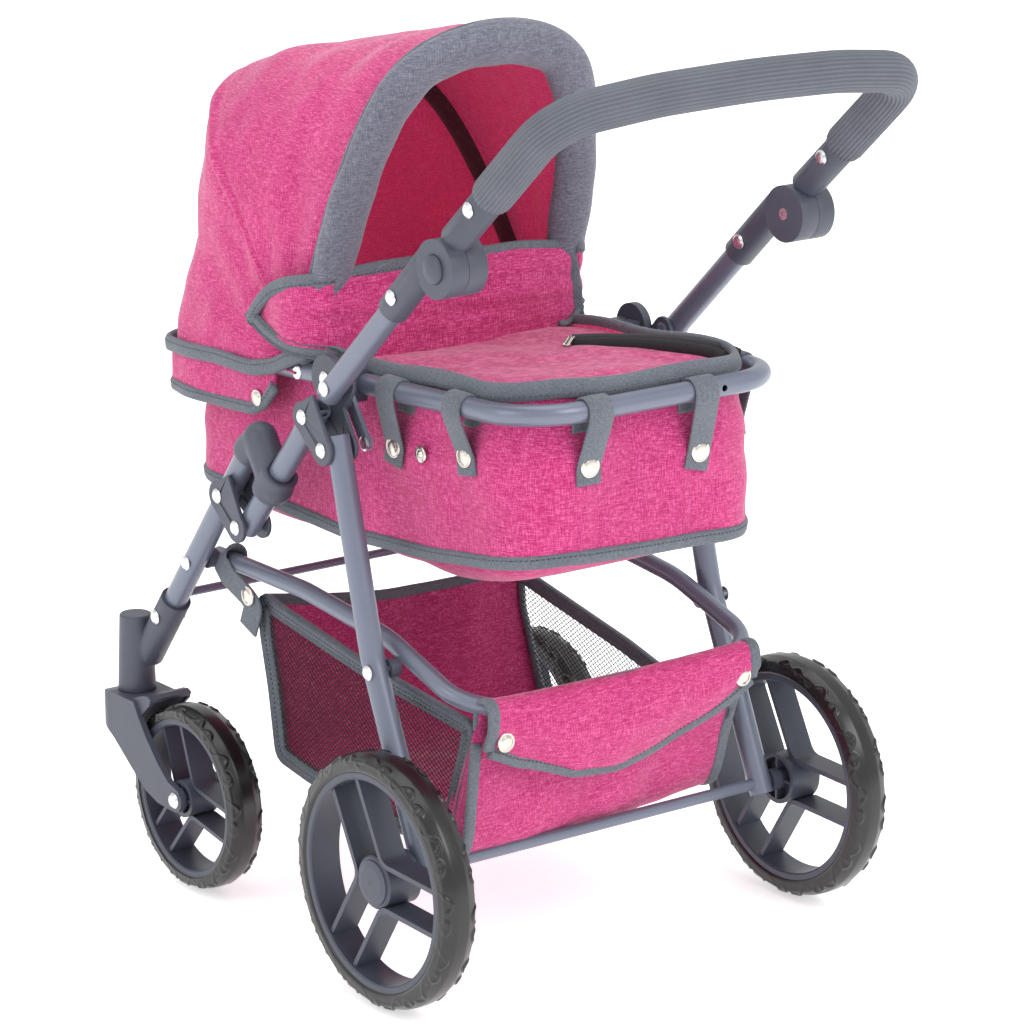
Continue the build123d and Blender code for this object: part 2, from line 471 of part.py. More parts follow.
# soft underside rises towards both ends
cot -= slab(poly((-400, 200), (-400, 276), (-336.5, 271), (-250, 258), (-250, 200)), -130, 130)
cot -= slab(poly((100, 200), (100, 290), (56, 284), (-40, 258), (-40, 200)), -130, 130)
for s in (1, -1):
    cot -= slab(dot(BOW, RIVET_R + 0.5), s * 98.0 - 12.0, s * 98.0 + 12.0)
put("carrycot", cot)

# zipped cover: level sheet under the rim and an upright wind panel across the hood opening
cov_sk = Pos(0, (-152.0 + 50.8) / 2) * Rectangle(2 * 93.2, 202.8) & (Pos(0, (CY0 + CY1) / 2) * RectangleRounded(2 * 93.2, CY1 - CY0 - 6.2, 41.0))
cover = extrude(Plane(origin=(0, 0, 0)) * cov_sk, amount=500)
cover &= slab(poly((-152.0, rail_z(-152) + 2.0), (60, rail_z(60) + 2.0), (60, rail_z(60) + 5.0), (-152.0, rail_z(-152) + 5.0)), -130, 130)
panel = slab(poly((-152.0, rail_z(-152) + 2.0), (-149.0, rail_z(-149) + 2.0), (-141.0, 436.0), (-144.0, 436.0)), -93.2, 93.2)
wing_sk = poly((-149.0, rail_z(-149) + 14.0), (-152.0, rail_z(-152) + 14.0), (-216.0, 397.0), (-212.0, 412.0), (-188.0, 432.0), (-144.0, 436.0), (-141.0, 436.0))
cross = slab(poly((-151.2, rail_z(-152) + 14.0), (-148.2, rail_z(-149) + 14.0), (-141.0, 436.0), (-144.0, 436.0)), -118.0, 118.0)
wings = slab(wing_sk, 115.6, 118.0)
cover = cover + panel + cross + wings + mir(wings)
put("carrycot_cover", cover)

# straps that loop over the rail, and their snap fasteners
straps, snaps = [], []


def strap_side(y, x_sign):
    rz = rail_z(y)
    o, i = RAIL_R + 2.15, RAIL_R + 0.8
    ring = Pos(0, 0) * (Circle(o) - Circle(i))
    sec = (ring & Pos(26, 20) * Rectangle(60, 40)) + Pos((o + i) / 2, -19) * Rectangle(o - i, 38)
    s = extrude(Plane(origin=(RAIL_X, y - 7.5, rz), x_dir=(1, 0, 0), z_dir=(0, -1, 0)) * sec, amount=-15.0)
    c = rivet(y, rz - 30.0, RAIL_X + o + 0.02, RAIL_X + o + 0.3, 1.0, 7.2, 2.2)
    c = c - xrod(y, rz - 30.0, RAIL_X + i - 6, RAIL_X + o + 0.02, 9.0)
    if x_sign < 0:
        s, c = mir(s), mir(c)
    return s, c


def strap_rear(x):
    y, rz = 63.0, rail_z(63.0)
    o, i = RAIL_R + 1.6, RAIL_R + 0.25
    sec = ((Circle(o) - Circle(i)) & Pos(26, 20) * Rectangle(60, 40)) + Pos((o + i) / 2, -19) * Rectangle(o - i, 38)
    s = extrude(Plane(origin=(x - 8.5, y, rz), x_dir=(0, 1, 0), z_dir=(1, 0, 0)) * sec, amount=17.0)
    prof = make_face(Polyline((0, 0), (7.2, 0), (7.2, 0.5), (5.0, 1.9), (0, 2.3), close=True))
    c = Plane(origin=(x, y + o + 0.02, rz - 30.0), z_dir=(0, 1, 0)) * revolve(Plane.XZ * prof, axis=Axis.Z)
    return s, c


for y in (-86.0, -22.0):
    for sg in (1, -1):
        s, c = strap_side(y, sg)
        straps.append(s)
        snaps.append(c)
for x in (38.0, -38.0):
    s, c = strap_rear(x)
    straps.append(s)
    snaps.append(c)
put("rail_straps", Compound(children=straps))
put("strap_snaps", Compound(children=snaps))

# ---------------------------------------------------------------- canopy
# Arched shell: sections across the stroller at stations along its length.
def arch(y, w, zt, zb, n=3.0, k=14):
    pts = []
    for i in range(k + 1):
        t = math.pi * i / k
        c, s = math.cos(t), math.sin(t)
        pts.append((w * math.copysign(abs(c) ** (2 / n), c), zb + (zt - zb) * abs(s) ** (2 / n)))
    pl_ = Plane(origin=(0, y, 0), x_dir=(1, 0, 0), z_dir=(0, -1, 0))
    sp_ = Spline(*pts)
    return pl_ * make_face(Curve() + [sp_, Line(pts[-1], pts[0])])


def shell(off):
    st = [(-96, 107, 604, 350), (-150, 110, 603, 350), (-205, 115, 596, 350), (-260, 115.2, 582, 350), (-302, 115.2, 556, 350), (-338, 114, 512, 350), (-360, 110, 452, 350)]
    secs = [arch(y + (off if j == len(st) - 1 else 0), w - off, zt - off, zb) for j, (y, w, zt, zb) in enumerate(st)]
    return loft(secs)


can = shell(0.0) - shell(2.4)
front_cut = slab(poly((BOW[0] + math.tan(math.radians(16)) * (300 - BOW[1]), 300), (BOW[0] + math.tan(math.radians(16)) * (700 - BOW[1]), 700), (100, 700), (100, 300)), -150, 150)
can -= front_cut
can -= slab(poly((-400, 300), (-400, 353), (-338, 358), (-222, 366), (-202, 384), (-60, 394), (-60, 300)), -150, 150)
can = can.solids().sort_by(SortBy.VOLUME)[-1]
put("canopy_skin", can)


def bow(ang, rise, r, x, corner):
    a = math.radians(ang)
    d = (math.sin(a), math.cos(a))

    def q(xx, s):
        return (xx, BOW[0] + d[0] * s, BOW[1] + d[1] * s)
    pts = [q(x, -3.0), q(x, rise * 0.62), q(x * 0.62, rise), q(-x * 0.62, rise), q(-x, rise * 0.62), q(-x, -3.0)]
    w = bent(pts, [corner * 1.4, corner, corner, corner * 1.4], r, 0)
    return w


BOWX = 89.6
fbow = bow(15.5, 224.0, 2.6, BOWX, 34.0)
mbow = bow(-36.0, 190.0, 2.4, BOWX - 6.4, 34.0)
hole = xrod(BOW[0], BOW[1], 70, 116, RIVET_R + RUN)
eye = xrod(BOW[0], BOW[1], BOWX - 2.9, BOWX + 2.9, 5.4)
fbow = fbow + eye + mir(eye)
fbow -= hole
fbow -= mir(hole)
eye2 = xrod(BOW[0], BOW[1], BOWX - 6.4 - 2.9, BOWX - 6.4 + 2.9, 5.4)
mbow = mbow + eye2 + mir(eye2)
mbow -= hole
mbow -= mir(hole)
put("canopy_front_bow", fbow)
put("canopy_middle_bow", mbow)

# ---------------------------------------------------------------- write
os.makedirs("parts", exist_ok=True)
for old in os.listdir("parts"):
    if old.endswith(".step") and old[:-5] not in PARTS:
        os.remove(os.path.join("parts", old))
for name, shape in PARTS.items():
    shape.label = name
    export_step(shape, os.path.join("parts", name + ".step"))
lo = [min(getattr(s.bounding_box().min, a) for s in PARTS.values()) for a in "XYZ"]
hi = [max(getattr(s.bounding_box().max, a) for s in PARTS.values()) for a in "XYZ"]
print(len(PARTS), "nodes", [round(v, 2) for v in lo], [round(v, 2) for v in hi])
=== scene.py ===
import json
import math

import bpy
import bmesh
import numpy as np
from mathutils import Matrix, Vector

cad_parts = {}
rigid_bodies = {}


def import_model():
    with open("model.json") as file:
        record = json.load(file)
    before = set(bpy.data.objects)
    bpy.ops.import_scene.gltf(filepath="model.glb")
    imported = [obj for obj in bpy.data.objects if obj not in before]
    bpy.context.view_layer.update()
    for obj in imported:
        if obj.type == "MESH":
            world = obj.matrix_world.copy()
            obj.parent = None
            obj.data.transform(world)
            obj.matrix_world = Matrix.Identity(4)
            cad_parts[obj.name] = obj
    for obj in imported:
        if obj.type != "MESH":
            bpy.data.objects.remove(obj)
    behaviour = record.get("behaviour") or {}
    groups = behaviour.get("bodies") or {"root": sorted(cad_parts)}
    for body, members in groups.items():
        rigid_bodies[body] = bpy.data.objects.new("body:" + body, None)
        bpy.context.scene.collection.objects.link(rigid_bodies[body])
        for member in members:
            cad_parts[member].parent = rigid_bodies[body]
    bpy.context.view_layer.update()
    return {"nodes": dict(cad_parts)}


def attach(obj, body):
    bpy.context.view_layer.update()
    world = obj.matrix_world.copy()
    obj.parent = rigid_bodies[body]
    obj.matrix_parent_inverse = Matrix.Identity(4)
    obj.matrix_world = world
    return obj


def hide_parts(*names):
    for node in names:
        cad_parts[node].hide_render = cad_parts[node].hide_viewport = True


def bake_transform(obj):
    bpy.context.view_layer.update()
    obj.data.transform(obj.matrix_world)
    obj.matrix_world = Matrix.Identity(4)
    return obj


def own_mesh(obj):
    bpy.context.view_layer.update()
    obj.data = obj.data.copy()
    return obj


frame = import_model()
N = frame["nodes"]
S = 101.06                      # rear axle's y in the shared frame, mm
RAIL_X, BASKET_X = 104.0, 119.0


def rail_z(y):
    return 376.2 + (y + 122.0) * 0.058


# ------------------------------------------------------------------ mesh helpers (millimetres, rear axle at y = 0)
def to_m(P):
    Q = np.array(P, float)
    Q[..., 1] += S
    return Q / 1000.0


def make(name, P, F, mats, smooth=True):
    me = bpy.data.meshes.new(name)
    me.from_pydata([tuple(p) for p in to_m(P)], [], [tuple(int(i) for i in f) for f in F])
    me.validate()
    for m in mats:
        me.materials.append(m)
    if smooth:
        me.polygons.foreach_set("use_smooth", [True] * len(me.polygons))
    o = bpy.data.objects.new(name, me)
    bpy.context.scene.collection.objects.link(o)
    return o


def grid_faces(nu, nv, cu=False, cv=False, flip=False, base=0):
    F = []
    for i in range(nu if cu else nu - 1):
        for j in range(nv if cv else nv - 1):
            a, b = i * nv + j, ((i + 1) % nu) * nv + j
            c, d = ((i + 1) % nu) * nv + (j + 1) % nv, i * nv + (j + 1) % nv
            F.append(tuple(base + q for q in ((a, d, c, b) if flip else (a, b, c, d))))
    return F


def grid(name, P, mats, cu=False, cv=False, flip=False):
    nu, nv = P.shape[:2]
    return make(name, P.reshape(-1, 3), grid_faces(nu, nv, cu, cv, flip), mats)


def baked(o):
    """The modifiers' result becomes the mesh itself."""
    dg = bpy.context.evaluated_depsgraph_get()
    me = bpy.data.meshes.new_from_object(o.evaluated_get(dg))
    o.modifiers.clear()
    o.data = me
    return o


def thick(o, t, inner=None, offset=-1.0):
    if inner is not None:
        o.data.materials.append(inner)
    m = o.modifiers.new("t", "SOLIDIFY")
    m.thickness, m.offset, m.use_even_offset = t / 1000.0, offset, False
    if inner is not None:
        m.material_offset, m.material_offset_rim = len(o.data.materials) - 1, 0
    return baked(o)


def area_of(o):
    return sum(p.area for p in o.data.polygons)


def waves(P, seed, count, wave_mm, amp, stretch=(1, 1, 1)):
    """Smooth seeded ripple: a sum of plane waves of about the given wavelength."""
    r = np.random.RandomState(seed)
    k = r.normal(size=(count, 3))
    k /= np.linalg.norm(k, axis=1)[:, None]
    k *= (2 * np.pi / (wave_mm * r.uniform(0.7, 1.5, (count, 1)))) * np.array(stretch)
    ph = r.uniform(0, 2 * np.pi, count)
    return amp * np.sin(P @ k.T + ph).sum(-1) / math.sqrt(count)


def normals(P, cu=False, cv=False):
    def d(A, ax, closed):
        if closed:
            return np.roll(A, -1, ax) - np.roll(A, 1, ax)
        return np.gradient(A, axis=ax)
    n = np.cross(d(P, 0, cu), d(P, 1, cv))
    L = np.linalg.norm(n, axis=-1, keepdims=True)
    return n / np.maximum(L, 1e-9)


def resample(pts, n, closed=False):
    P = np.array(pts, float)
    if closed:
        P = np.vstack([P, P[:1]])
    d = np.r_[0, np.cumsum(np.linalg.norm(np.diff(P, axis=0), axis=1))]
    t = np.linspace(0, d[-1], n + (1 if closed else 0))
    Q = np.stack([np.interp(t, d, P[:, i]) for i in range(P.shape[1])], 1)
    return Q[:-1] if closed else Q


def smooth(P, it, closed=False, pin=True):
    P = P.copy()
    for _ in range(it):
        if closed:
            P = 0.5 * P + 0.25 * (np.roll(P, 1, 0) + np.roll(P, -1, 0))
        else:
            Q = P.copy()
            Q[1:-1] = 0.5 * P[1:-1] + 0.25 * (P[:-2] + P[2:])
            P = Q
    return P


def unitv(A):
    return A / np.maximum(np.linalg.norm(A, axis=-1, keepdims=True), 1e-9)


def tangent(P, closed=False):
    return unitv(np.roll(P, -1, 0) - np.roll(P, 1, 0)) if closed else unitv(np.gradient(P, axis=0))


def tape(w, t, k=5):
    r = t / 2
    a = [(w / 2 - r + r * math.cos(q), r * math.sin(q)) for q in np.linspace(-math.pi / 2, math.pi / 2, k)]
    b = [(-w / 2 + r - r * math.cos(q), -r * math.sin(q)) for q in np.linspace(-math.pi / 2, math.pi / 2, k)]
    mid = [(0.0, r * 1.12)]
    return np.array(a + mid + b + [(0.0, -r * 1.12)])


def oval(a, b, k=16):
    return np.array([(a * math.cos(q), b * math.sin(q)) for q in np.linspace(0, 2 * math.pi, k, endpoint=False)])


def sweep(name, path, A, sec, mats, closed=False, scale=None):
    """Section (a, b) along the path: a follows A made square to the path, b is the third direction."""
    T = tangent(path, closed)
    A = np.broadcast_to(np.array(A, float), path.shape)
    A = unitv(A - T * (A * T).sum(1, keepdims=True))
    B = np.cross(T, A)
    sc = np.ones(len(path)) if scale is None else np.asarray(scale)
    P = path[:, None, :] + (A[:, None, :] * sec[None, :, :1] + B[:, None, :] * sec[None, :, 1:]) * sc[:, None, None]
    n, m = P.shape[:2]
    F = grid_faces(n, m, closed, True)
    if not closed:
        F += [tuple(range(m)), tuple((n - 1) * m + q for q in reversed(range(m)))]
    o = make(name, P.reshape(-1, 3), F, mats)
    bm = bmesh.new()
    bm.from_mesh(o.data)
    bmesh.ops.recalc_face_normals(bm, faces=bm.faces)
    bm.to_mesh(o.data)
    bm.free()
    return o


def stitches(name, path, out, off, mat, pitch=3.3, length=2.1, r=0.38):
    """A row of stitches standing just proud of the cloth along the path."""
    d = np.r_[0, np.cumsum(np.linalg.norm(np.diff(path, axis=0), axis=1))]
    n = max(int(d[-1] / pitch), 1)
    out = np.broadcast_to(np.array(out, float), path.shape)
    P, F = [], []

    def at(s):
        p = np.array([np.interp(s, d, path[:, i]) for i in range(3)])
        o = np.array([np.interp(s, d, out[:, i]) for i in range(3)])
        return p + o / max(np.linalg.norm(o), 1e-9) * off, o / max(np.linalg.norm(o), 1e-9)
    for k in range(n):
        s0 = k * pitch + 0.4
        p0, o0 = at(s0)
        p1, _ = at(min(s0 + length, d[-1]))
        t = p1 - p0
        L = np.linalg.norm(t)
        if L < 0.3:
            continue
        t /= L
        b = np.cross(t, o0)
        c = [p0, (p0 + p1) / 2, p1]
        base = len(P)
        for q, (cc, f, lift) in enumerate(zip(c, (0.45, 1.0, 0.45), (-0.25, 0.12, -0.25))):
            for ang in range(5):
                an = 2 * math.pi * ang / 5
                P.append(cc + o0 * (lift + r * f * math.sin(an)) + b * r * f * math.cos(an))
        for q in range(2):
            for ang in range(5):
                a, e = base + q * 5 + ang, base + q * 5 + (ang + 1) % 5
                F.append((a, e, e + 5, a + 5))
        F.append(tuple(base + q for q in range(5)))
        F.append(tuple(base + 10 + q for q in reversed(range(5))))
    return make(name, np.array(P), F, [mat])


def revolve(name, prof, axis_o, axis_d, mats, n=40):
    """prof: (radius, height) pairs from the axis outwards and back."""
    d = unitv(np.array(axis_d, float))
    u = unitv(np.cross(d, [0.0, 0.3, 1.0]))
    v = np.cross(d, u)
    P = []
    for k in range(n):
        a = 2 * math.pi * k / n
        for r, h in prof:
            P.append(np.array(axis_o) + d * h + (u * math.cos(a) + v * math.sin(a)) * r)
    o = make(name, np.array(P), grid_faces(n, len(prof), True, False), mats)
    bm = bmesh.new()
    bm.from_mesh(o.data)
    bmesh.ops.remove_doubles(bm, verts=bm.verts, dist=1e-6)
    bmesh.ops.recalc_face_normals(bm, faces=bm.faces)
    bm.to_mesh(o.data)
    bm.free()
    return o


def joined(name, objs):
    bm = bmesh.new()
    mats = []
    for o in objs:
        idx = []
        for m in o.data.materials:
            if m not in mats:
                mats.append(m)
            idx.append(mats.index(m))
        tmp = o.data
        nf = len(bm.faces)
        bm.from_mesh(tmp)
        bm.faces.ensure_lookup_table()
        for f in bm.faces[nf:]:
            f.material_index = idx[f.material_index] if idx else 0
    me = bpy.data.meshes.new(name)
    bm.to_mesh(me)
    bm.free()
    for m in mats:
        me.materials.append(m)
    for o in objs:
        bpy.data.objects.remove(o)
    o = bpy.data.objects.new(name, me)
    bpy.context.scene.collection.objects.link(o)
    return o


# ------------------------------------------------------------------ materials
def srgb(r, g, b):
    f = lambda c: (c / 255 / 12.92) if c <= 10 else ((c / 255 + 0.055) / 1.055) ** 2.4
    return (f(r), f(g), f(b), 1.0)


class Mat:
    def __init__(self, name):
        self.m = bpy.data.materials.new(name)
        self.m.use_nodes = True
        self.t = self.m.node_tree
        self.b = self.t.nodes["Principled BSDF"]
        self.co = self.node("ShaderNodeTexCoord")

    def node(self, kind, **kw):
        n = self.t.nodes.new(kind)
        for k, v in kw.items():
            setattr(n, k, v)
        return n

    def link(self, a, b):
        self.t.links.new(a, b)

    def mapped(self, scale):
        mp = self.node("ShaderNodeMapping")
        mp.inputs["Scale"].default_value = scale
        self.link(self.co.outputs["Object"], mp.inputs["Vector"])
        return mp.outputs["Vector"]

    def noise(self, scale, detail=3, rough=0.55, vec=None):
        n = self.node("ShaderNodeTexNoise")
        n.inputs["Scale"].default_value = scale
        n.inputs["Detail"].default_value = detail
        n.inputs["Roughness"].default_value = rough
        self.link(vec if vec is not None else self.co.outputs["Object"], n.inputs["Vector"])
        return n.outputs["Fac"]

    def ramp(self, fac, stops):
        r = self.node("ShaderNodeValToRGB")
        e = r.color_ramp.elements
        while len(e) < len(stops):
            e.new(0.5)
        for el, (p, c) in zip(e, stops):
            el.position = p
            el.color = c if len(c) == 4 else (*c, 1)
        self.link(fac, r.inputs["Fac"])
        return r.outputs["Color"]

    def mix(self, fac, a, b, mode="MIX"):
        n = self.node("ShaderNodeMix", data_type="RGBA", blend_type=mode)
        for sock, v in ((n.inputs[0], fac), (n.inputs[6], a), (n.inputs[7], b)):
            if isinstance(v, (int, float)):
                sock.default_value = v
            elif isinstance(v, tuple):
                sock.default_value = v
            else:
                self.link(v, sock)
        return n.outputs[2]

    def math(self, op, a, b):
        n = self.node("ShaderNodeMath", operation=op)
        for s, v in zip(n.inputs, (a, b)):
            if isinstance(v, (int, float)):
                s.default_value = v
            else:
                self.link(v, s)
        return n.outputs[0]

    def bump(self, height, strength, dist):
        n = self.node("ShaderNodeBump")
        n.inputs["Strength"].default_value = strength
        n.inputs["Distance"].default_value = dist
        self.link(height, n.inputs["Height"])
        self.link(n.outputs["Normal"], self.b.inputs["Normal"])

    def rough(self, fac, lo, hi):
        n = self.node("ShaderNodeMapRange")
        n.inputs["To Min"].default_value, n.inputs["To Max"].default_value = lo, hi
        self.link(fac, n.inputs["Value"])
        self.link(n.outputs["Result"], self.b.inputs["Roughness"])


def linen(name, dark, mid, light, fleck=0.5, bump=0.5):
    """Melange plain-weave canvas: crossed slubs, fine thread grid and a slow shade change."""
    M = Mat(name)
    h = M.noise(1.0, 2, 0.6, M.mapped((170, 170, 1750)))
    v = M.noise(1.0, 2, 0.6, M.mapped((1750, 1750, 160)))
    fine = M.noise(1900, 2, 0.6)
    slow = M.noise(14, 3, 0.5)
    hv = M.math("ADD", M.math("MULTIPLY", h, 0.5), M.math("MULTIPLY", v, 0.5))
    thr = M.math("ADD", M.math("MULTIPLY", hv, 0.75), M.math("MULTIPLY", fine, 0.25))
    col = M.ramp(thr, [(0.385, dark), (0.5, mid), (0.615, light)])
    shade = M.ramp(slow, [(0.35, (0.90, 0.88, 0.90)), (0.65, (1.0, 1.0, 1.0))])
    out = M.mix(1.0, col, shade, "MULTIPLY")
    M.link(out, M.b.inputs["Base Color"])
    M.rough(thr, 0.78, 0.95)
    M.b.inputs["Sheen Weight"].default_value = 0.25
    M.b.inputs["Sheen Roughness"].default_value = 0.5
    M.b.inputs["Specular IOR Level"].default_value = 0.25
    M.bump(thr, bump, 0.0004)
    return M.m


def webbing(name, dark, light):
    M = Mat(name)
    warp = M.noise(1.0, 2, 0.6, M.mapped((1900, 1900, 420)))
    weft = M.noise(1.0, 2, 0.6, M.mapped((420, 420, 1900)))
    nz = M.noise(2100, 2)
    f = M.math("ADD", M.math("MULTIPLY", M.math("ADD", M.math("MULTIPLY", warp, 0.5), M.math("MULTIPLY", weft, 0.5)), 0.6), M.math("MULTIPLY", nz, 0.4))
    col = M.ramp(f, [(0.38, dark), (0.62, light)])
    slow = M.ramp(M.noise(22, 3), [(0.35, (0.86, 0.87, 0.9)), (0.65, (1, 1, 1))])
    M.link(M.mix(1.0, col, slow, "MULTIPLY"), M.b.inputs["Base Color"])
    M.rough(nz, 0.7, 0.92)
    M.b.inputs["Sheen Weight"].default_value = 0.15
    M.b.inputs["Specular IOR Level"].default_value = 0.3
    M.bump(f, 0.5, 0.0004)
    return M.m


def plastic(name, base, rough=0.45, grain=0.25, light=None):
    M = Mat(name)
    light = light or tuple(min(c * 1.18 + 0.004, 1) for c in base[:3]) + (1,)
    slow = M.noise(35, 4)
    fine = M.noise(2200, 2)
    M.link(M.ramp(slow, [(0.35, base), (0.7, light)]), M.b.inputs["Base Color"])
    M.rough(M.math("ADD", M.math("MULTIPLY", slow, 0.5), M.math("MULTIPLY", fine, 0.5)), rough - 0.08, rough + 0.1)
    M.b.inputs["Specular IOR Level"].default_value = 0.5
    M.bump(fine, grain, 0.00012)
    return M.m


def painted(name, base, rough=0.34, metal=0.35):
    M = Mat(name)
    light = tuple(min(c * 1.12 + 0.004, 1) for c in base[:3]) + (1,)
    slow = M.noise(26, 3)
    fleck = M.noise(3200, 1)
    M.link(M.mix(0.5, M.ramp(slow, [(0.35, base), (0.7, light)]), M.ramp(fleck, [(0.35, base), (0.7, light)])), M.b.inputs["Base Color"])
    M.b.inputs["Metallic"].default_value = metal
    M.rough(slow, rough - 0.05, rough + 0.09)
    M.b.inputs["Coat Weight"].default_value = 0.25
    M.b.inputs["Coat Roughness"].default_value = 0.25
    M.bump(M.noise(900, 2), 0.12, 0.0001)
    return M.m


def metal(name, base, rough=0.28, aniso=False):
    M = Mat(name)
    slow = M.noise(60, 4)
    light = tuple(min(c * 1.2, 1) for c in base[:3]) + (1,)
    M.link(M.ramp(slow, [(0.3, base), (0.7, light)]), M.b.inputs["Base Color"])
    M.b.inputs["Metallic"].default_value = 1.0
    M.rough(M.noise(500, 3), rough - 0.08, rough + 0.14)
    M.bump(M.noise(1400, 2), 0.08, 0.0001)
    return M.m


def foam(name):
    M = Mat(name)
    slow, fine = M.noise(30, 4), M.noise(1500, 3)
    M.link(M.ramp(slow, [(0.3, srgb(14, 14, 15)), (0.72, srgb(27, 27, 26))]), M.b.inputs["Base Color"])
    M.rough(M.math("ADD", M.math("MULTIPLY", slow, 0.6), M.math("MULTIPLY", fine, 0.4)), 0.17, 0.32)
    M.b.inputs["Specular IOR Level"].default_value = 0.55
    M.bump(fine, 0.18, 0.0002)
    return M.m


PINK = linen("pink_linen", srgb(150, 24, 86), srgb(188, 48, 112), srgb(222, 108, 160))
# lining: colour kept lighter than the outer pink, painted light standing in for daylight coming through the single
# cloth
PINK_LINING_PAINTED_BACKLIGHT = linen("pink_lining_painted_backlight", srgb(176, 36, 94), srgb(208, 62, 118), srgb(232, 110, 156))
# painted glow on the lining side: a faint pink emission stands in for daylight passing through the single cloth
PINK_LINING_PAINTED_BACKLIGHT.node_tree.nodes["Principled BSDF"].inputs["Emission Color"].default_value = (0.62, 0.045, 0.14, 1)
PINK_LINING_PAINTED_BACKLIGHT.node_tree.nodes["Principled BSDF"].inputs["Emission Strength"].default_value = 0.24
MELANGE = linen("grey_melange", srgb(78, 80, 92), srgb(104, 106, 119), srgb(132, 134, 146), bump=0.35)
GREY = webbing("grey_webbing", srgb(74, 78, 86), srgb(118, 124, 132))
SLEEVE = linen("dark_sleeve", srgb(50, 30, 38), srgb(70, 46, 54), srgb(92, 66, 74))
THREAD = webbing("dark_thread", srgb(38, 42, 50), srgb(64, 70, 80))
ZIPTAPE = webbing("black_tape", srgb(20, 20, 22), srgb(48, 48, 52))
NET = plastic("black_net", srgb(24, 16, 20), 0.6, 0.1)
TUBE = painted("tube_paint", srgb(104, 110, 126))
DARK = plastic("dark_plastic", srgb(64, 68, 80), 0.46)
RIMP = plastic("rim_plastic", srgb(58, 62, 74), 0.42)
GRIP = plastic("grip_foam", srgb(88, 92, 101), 0.55, 0.3)
ZINC = metal("zinc", srgb(205, 206, 208), 0.25)
NICKEL = metal("nickel", srgb(196, 190, 182), 0.2)
FOAM = foam("tyre_foam")

for n, o in N.items():
    m = DARK
    if n.startswith(("front_leg", "middle_tube", "handle_tube", "rear_leg", "front_crossbar", "support_bars")) or n in (
            "carrycot_rail", "front_rail", "basket_tube", "handle_bar"):
        m = TUBE
    elif n == "rear_axle":
        m = TUBE
    elif "rivets" in n or n.startswith("caster_hardware") or n.startswith("canopy_"):
        m = ZINC
    elif "rim" in n:
        m = RIMP
    elif "tyre" in n:
        m = FOAM
    elif n == "handle_grip":
        m = GRIP
    o.data.materials.clear()
    o.data.materials.append(m)

for n, o in N.items():
    if n.startswith(("fork", "caster_housing", "fold_bracket", "upper_bracket", "rail_lobe", "lower_knuckle", "upper_knuckle", "support_bars")):
        w = o.modifiers.new("weld", "WELD")
        w.merge_threshold = 0.00002
        b = o.modifiers.new("edges", "BEVEL")
        b.limit_method, b.angle_limit = "ANGLE", math.radians(38)
        b.width, b.segments, b.use_clamp_overlap = 0.0009 if n.startswith(("fork", "caster")) else 0.0006, 2, True
        b.harden_normals = False


def keep(o, body, nodes=()):
    if nodes:
        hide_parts(*nodes)
    if body:
        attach(o, body)
    return o


# ------------------------------------------------------------------ grip: foam sleeve with ribs along its length
def fillet_path(pts, radii, step=4.0):
    """Straight runs joined by tangent arcs, sampled evenly."""
    pts = [np.array(p, float) for p in pts]
    out = [pts[0]]
    for i in range(1, len(pts) - 1):
        a, b, c = pts[i - 1], pts[i], pts[i + 1]
        u, v = unitv(a - b), unitv(c - b)
        ang = math.acos(max(-1, min(1, float(u @ v))))
        cut = radii[i - 1] / math.tan(ang / 2)
        p0, p1 = b + u * cut, b + v * cut
        ctr = b + unitv(u + v) * (radii[i - 1] / math.sin(ang / 2))
        e0, e1 = p0 - ctr, p1 - ctr
        tot = math.acos(max(-1, min(1, float(unitv(e0) @ unitv(e1)))))
        for k in range(25):
            t = k / 24
            out.append(ctr + (e0 * math.sin((1 - t) * tot) + e1 * math.sin(t * tot)) / max(math.sin(tot), 1e-9))
    out.append(pts[-1])
    P = np.array(out)
    L = np.linalg.norm(np.diff(P, axis=0), axis=1).sum()
    return resample(P, int(L / step))


GA = math.radians(42.0)


def hb(x, s):
    return (x, 65.2 + math.cos(GA) * s, 526.5 + math.sin(GA) * s)


gp = fillet_path([hb(140, 8), hb(140, 92), hb(70, 104.5), hb(0, 107.5), hb(-70, 104.5), hb(-140, 92), hb(-140, 8)], [32.0, 180.0, 600.0, 180.0, 32.0])
gp = smooth(gp, 2)
ribs = 30
sec = []
for k in range(ribs * 6):
    q = 2 * math.pi * k / (ribs * 6)
    r = 12.75 + 0.5 * math.tanh(2.2 * math.cos(q * ribs))
    sec.append((r * math.cos(q), r * math.sin(q)))
gsc = np.ones(len(gp))
gsc[0] = gsc[-1] = 0.93
plane_g = np.array([0, -math.sin(GA), math.cos(GA)])
grip = sweep("grip_ribbed", gp, plane_g, np.array(sec), [GRIP], scale=gsc)
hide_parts("handle_grip")
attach(grip, "handle")


# ------------------------------------------------------------------ lock sleeves: moulded with soft edges
def moulded(node, body, voxel=0.0013, it=7):
    src = N[node]
    o = bpy.data.objects.new(node + "_moulded", src.data.copy())
    bpy.context.scene.collection.objects.link(o)
    m = o.modifiers.new("r", "REMESH")
    m.mode, m.voxel_size = "VOXEL", voxel
    q = o.modifiers.new("s", "SMOOTH")
    q.iterations, q.factor = it, 0.5
    baked(o)
    o.data.materials.clear()
    o.data.materials.append(DARK)
    o.data.polygons.foreach_set("use_smooth", [True] * len(o.data.polygons))
    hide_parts(node)
    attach(o, body)


for s_ in ("left", "right"):
    moulded("lock_sleeve_" + s_, "lock_" + s_)


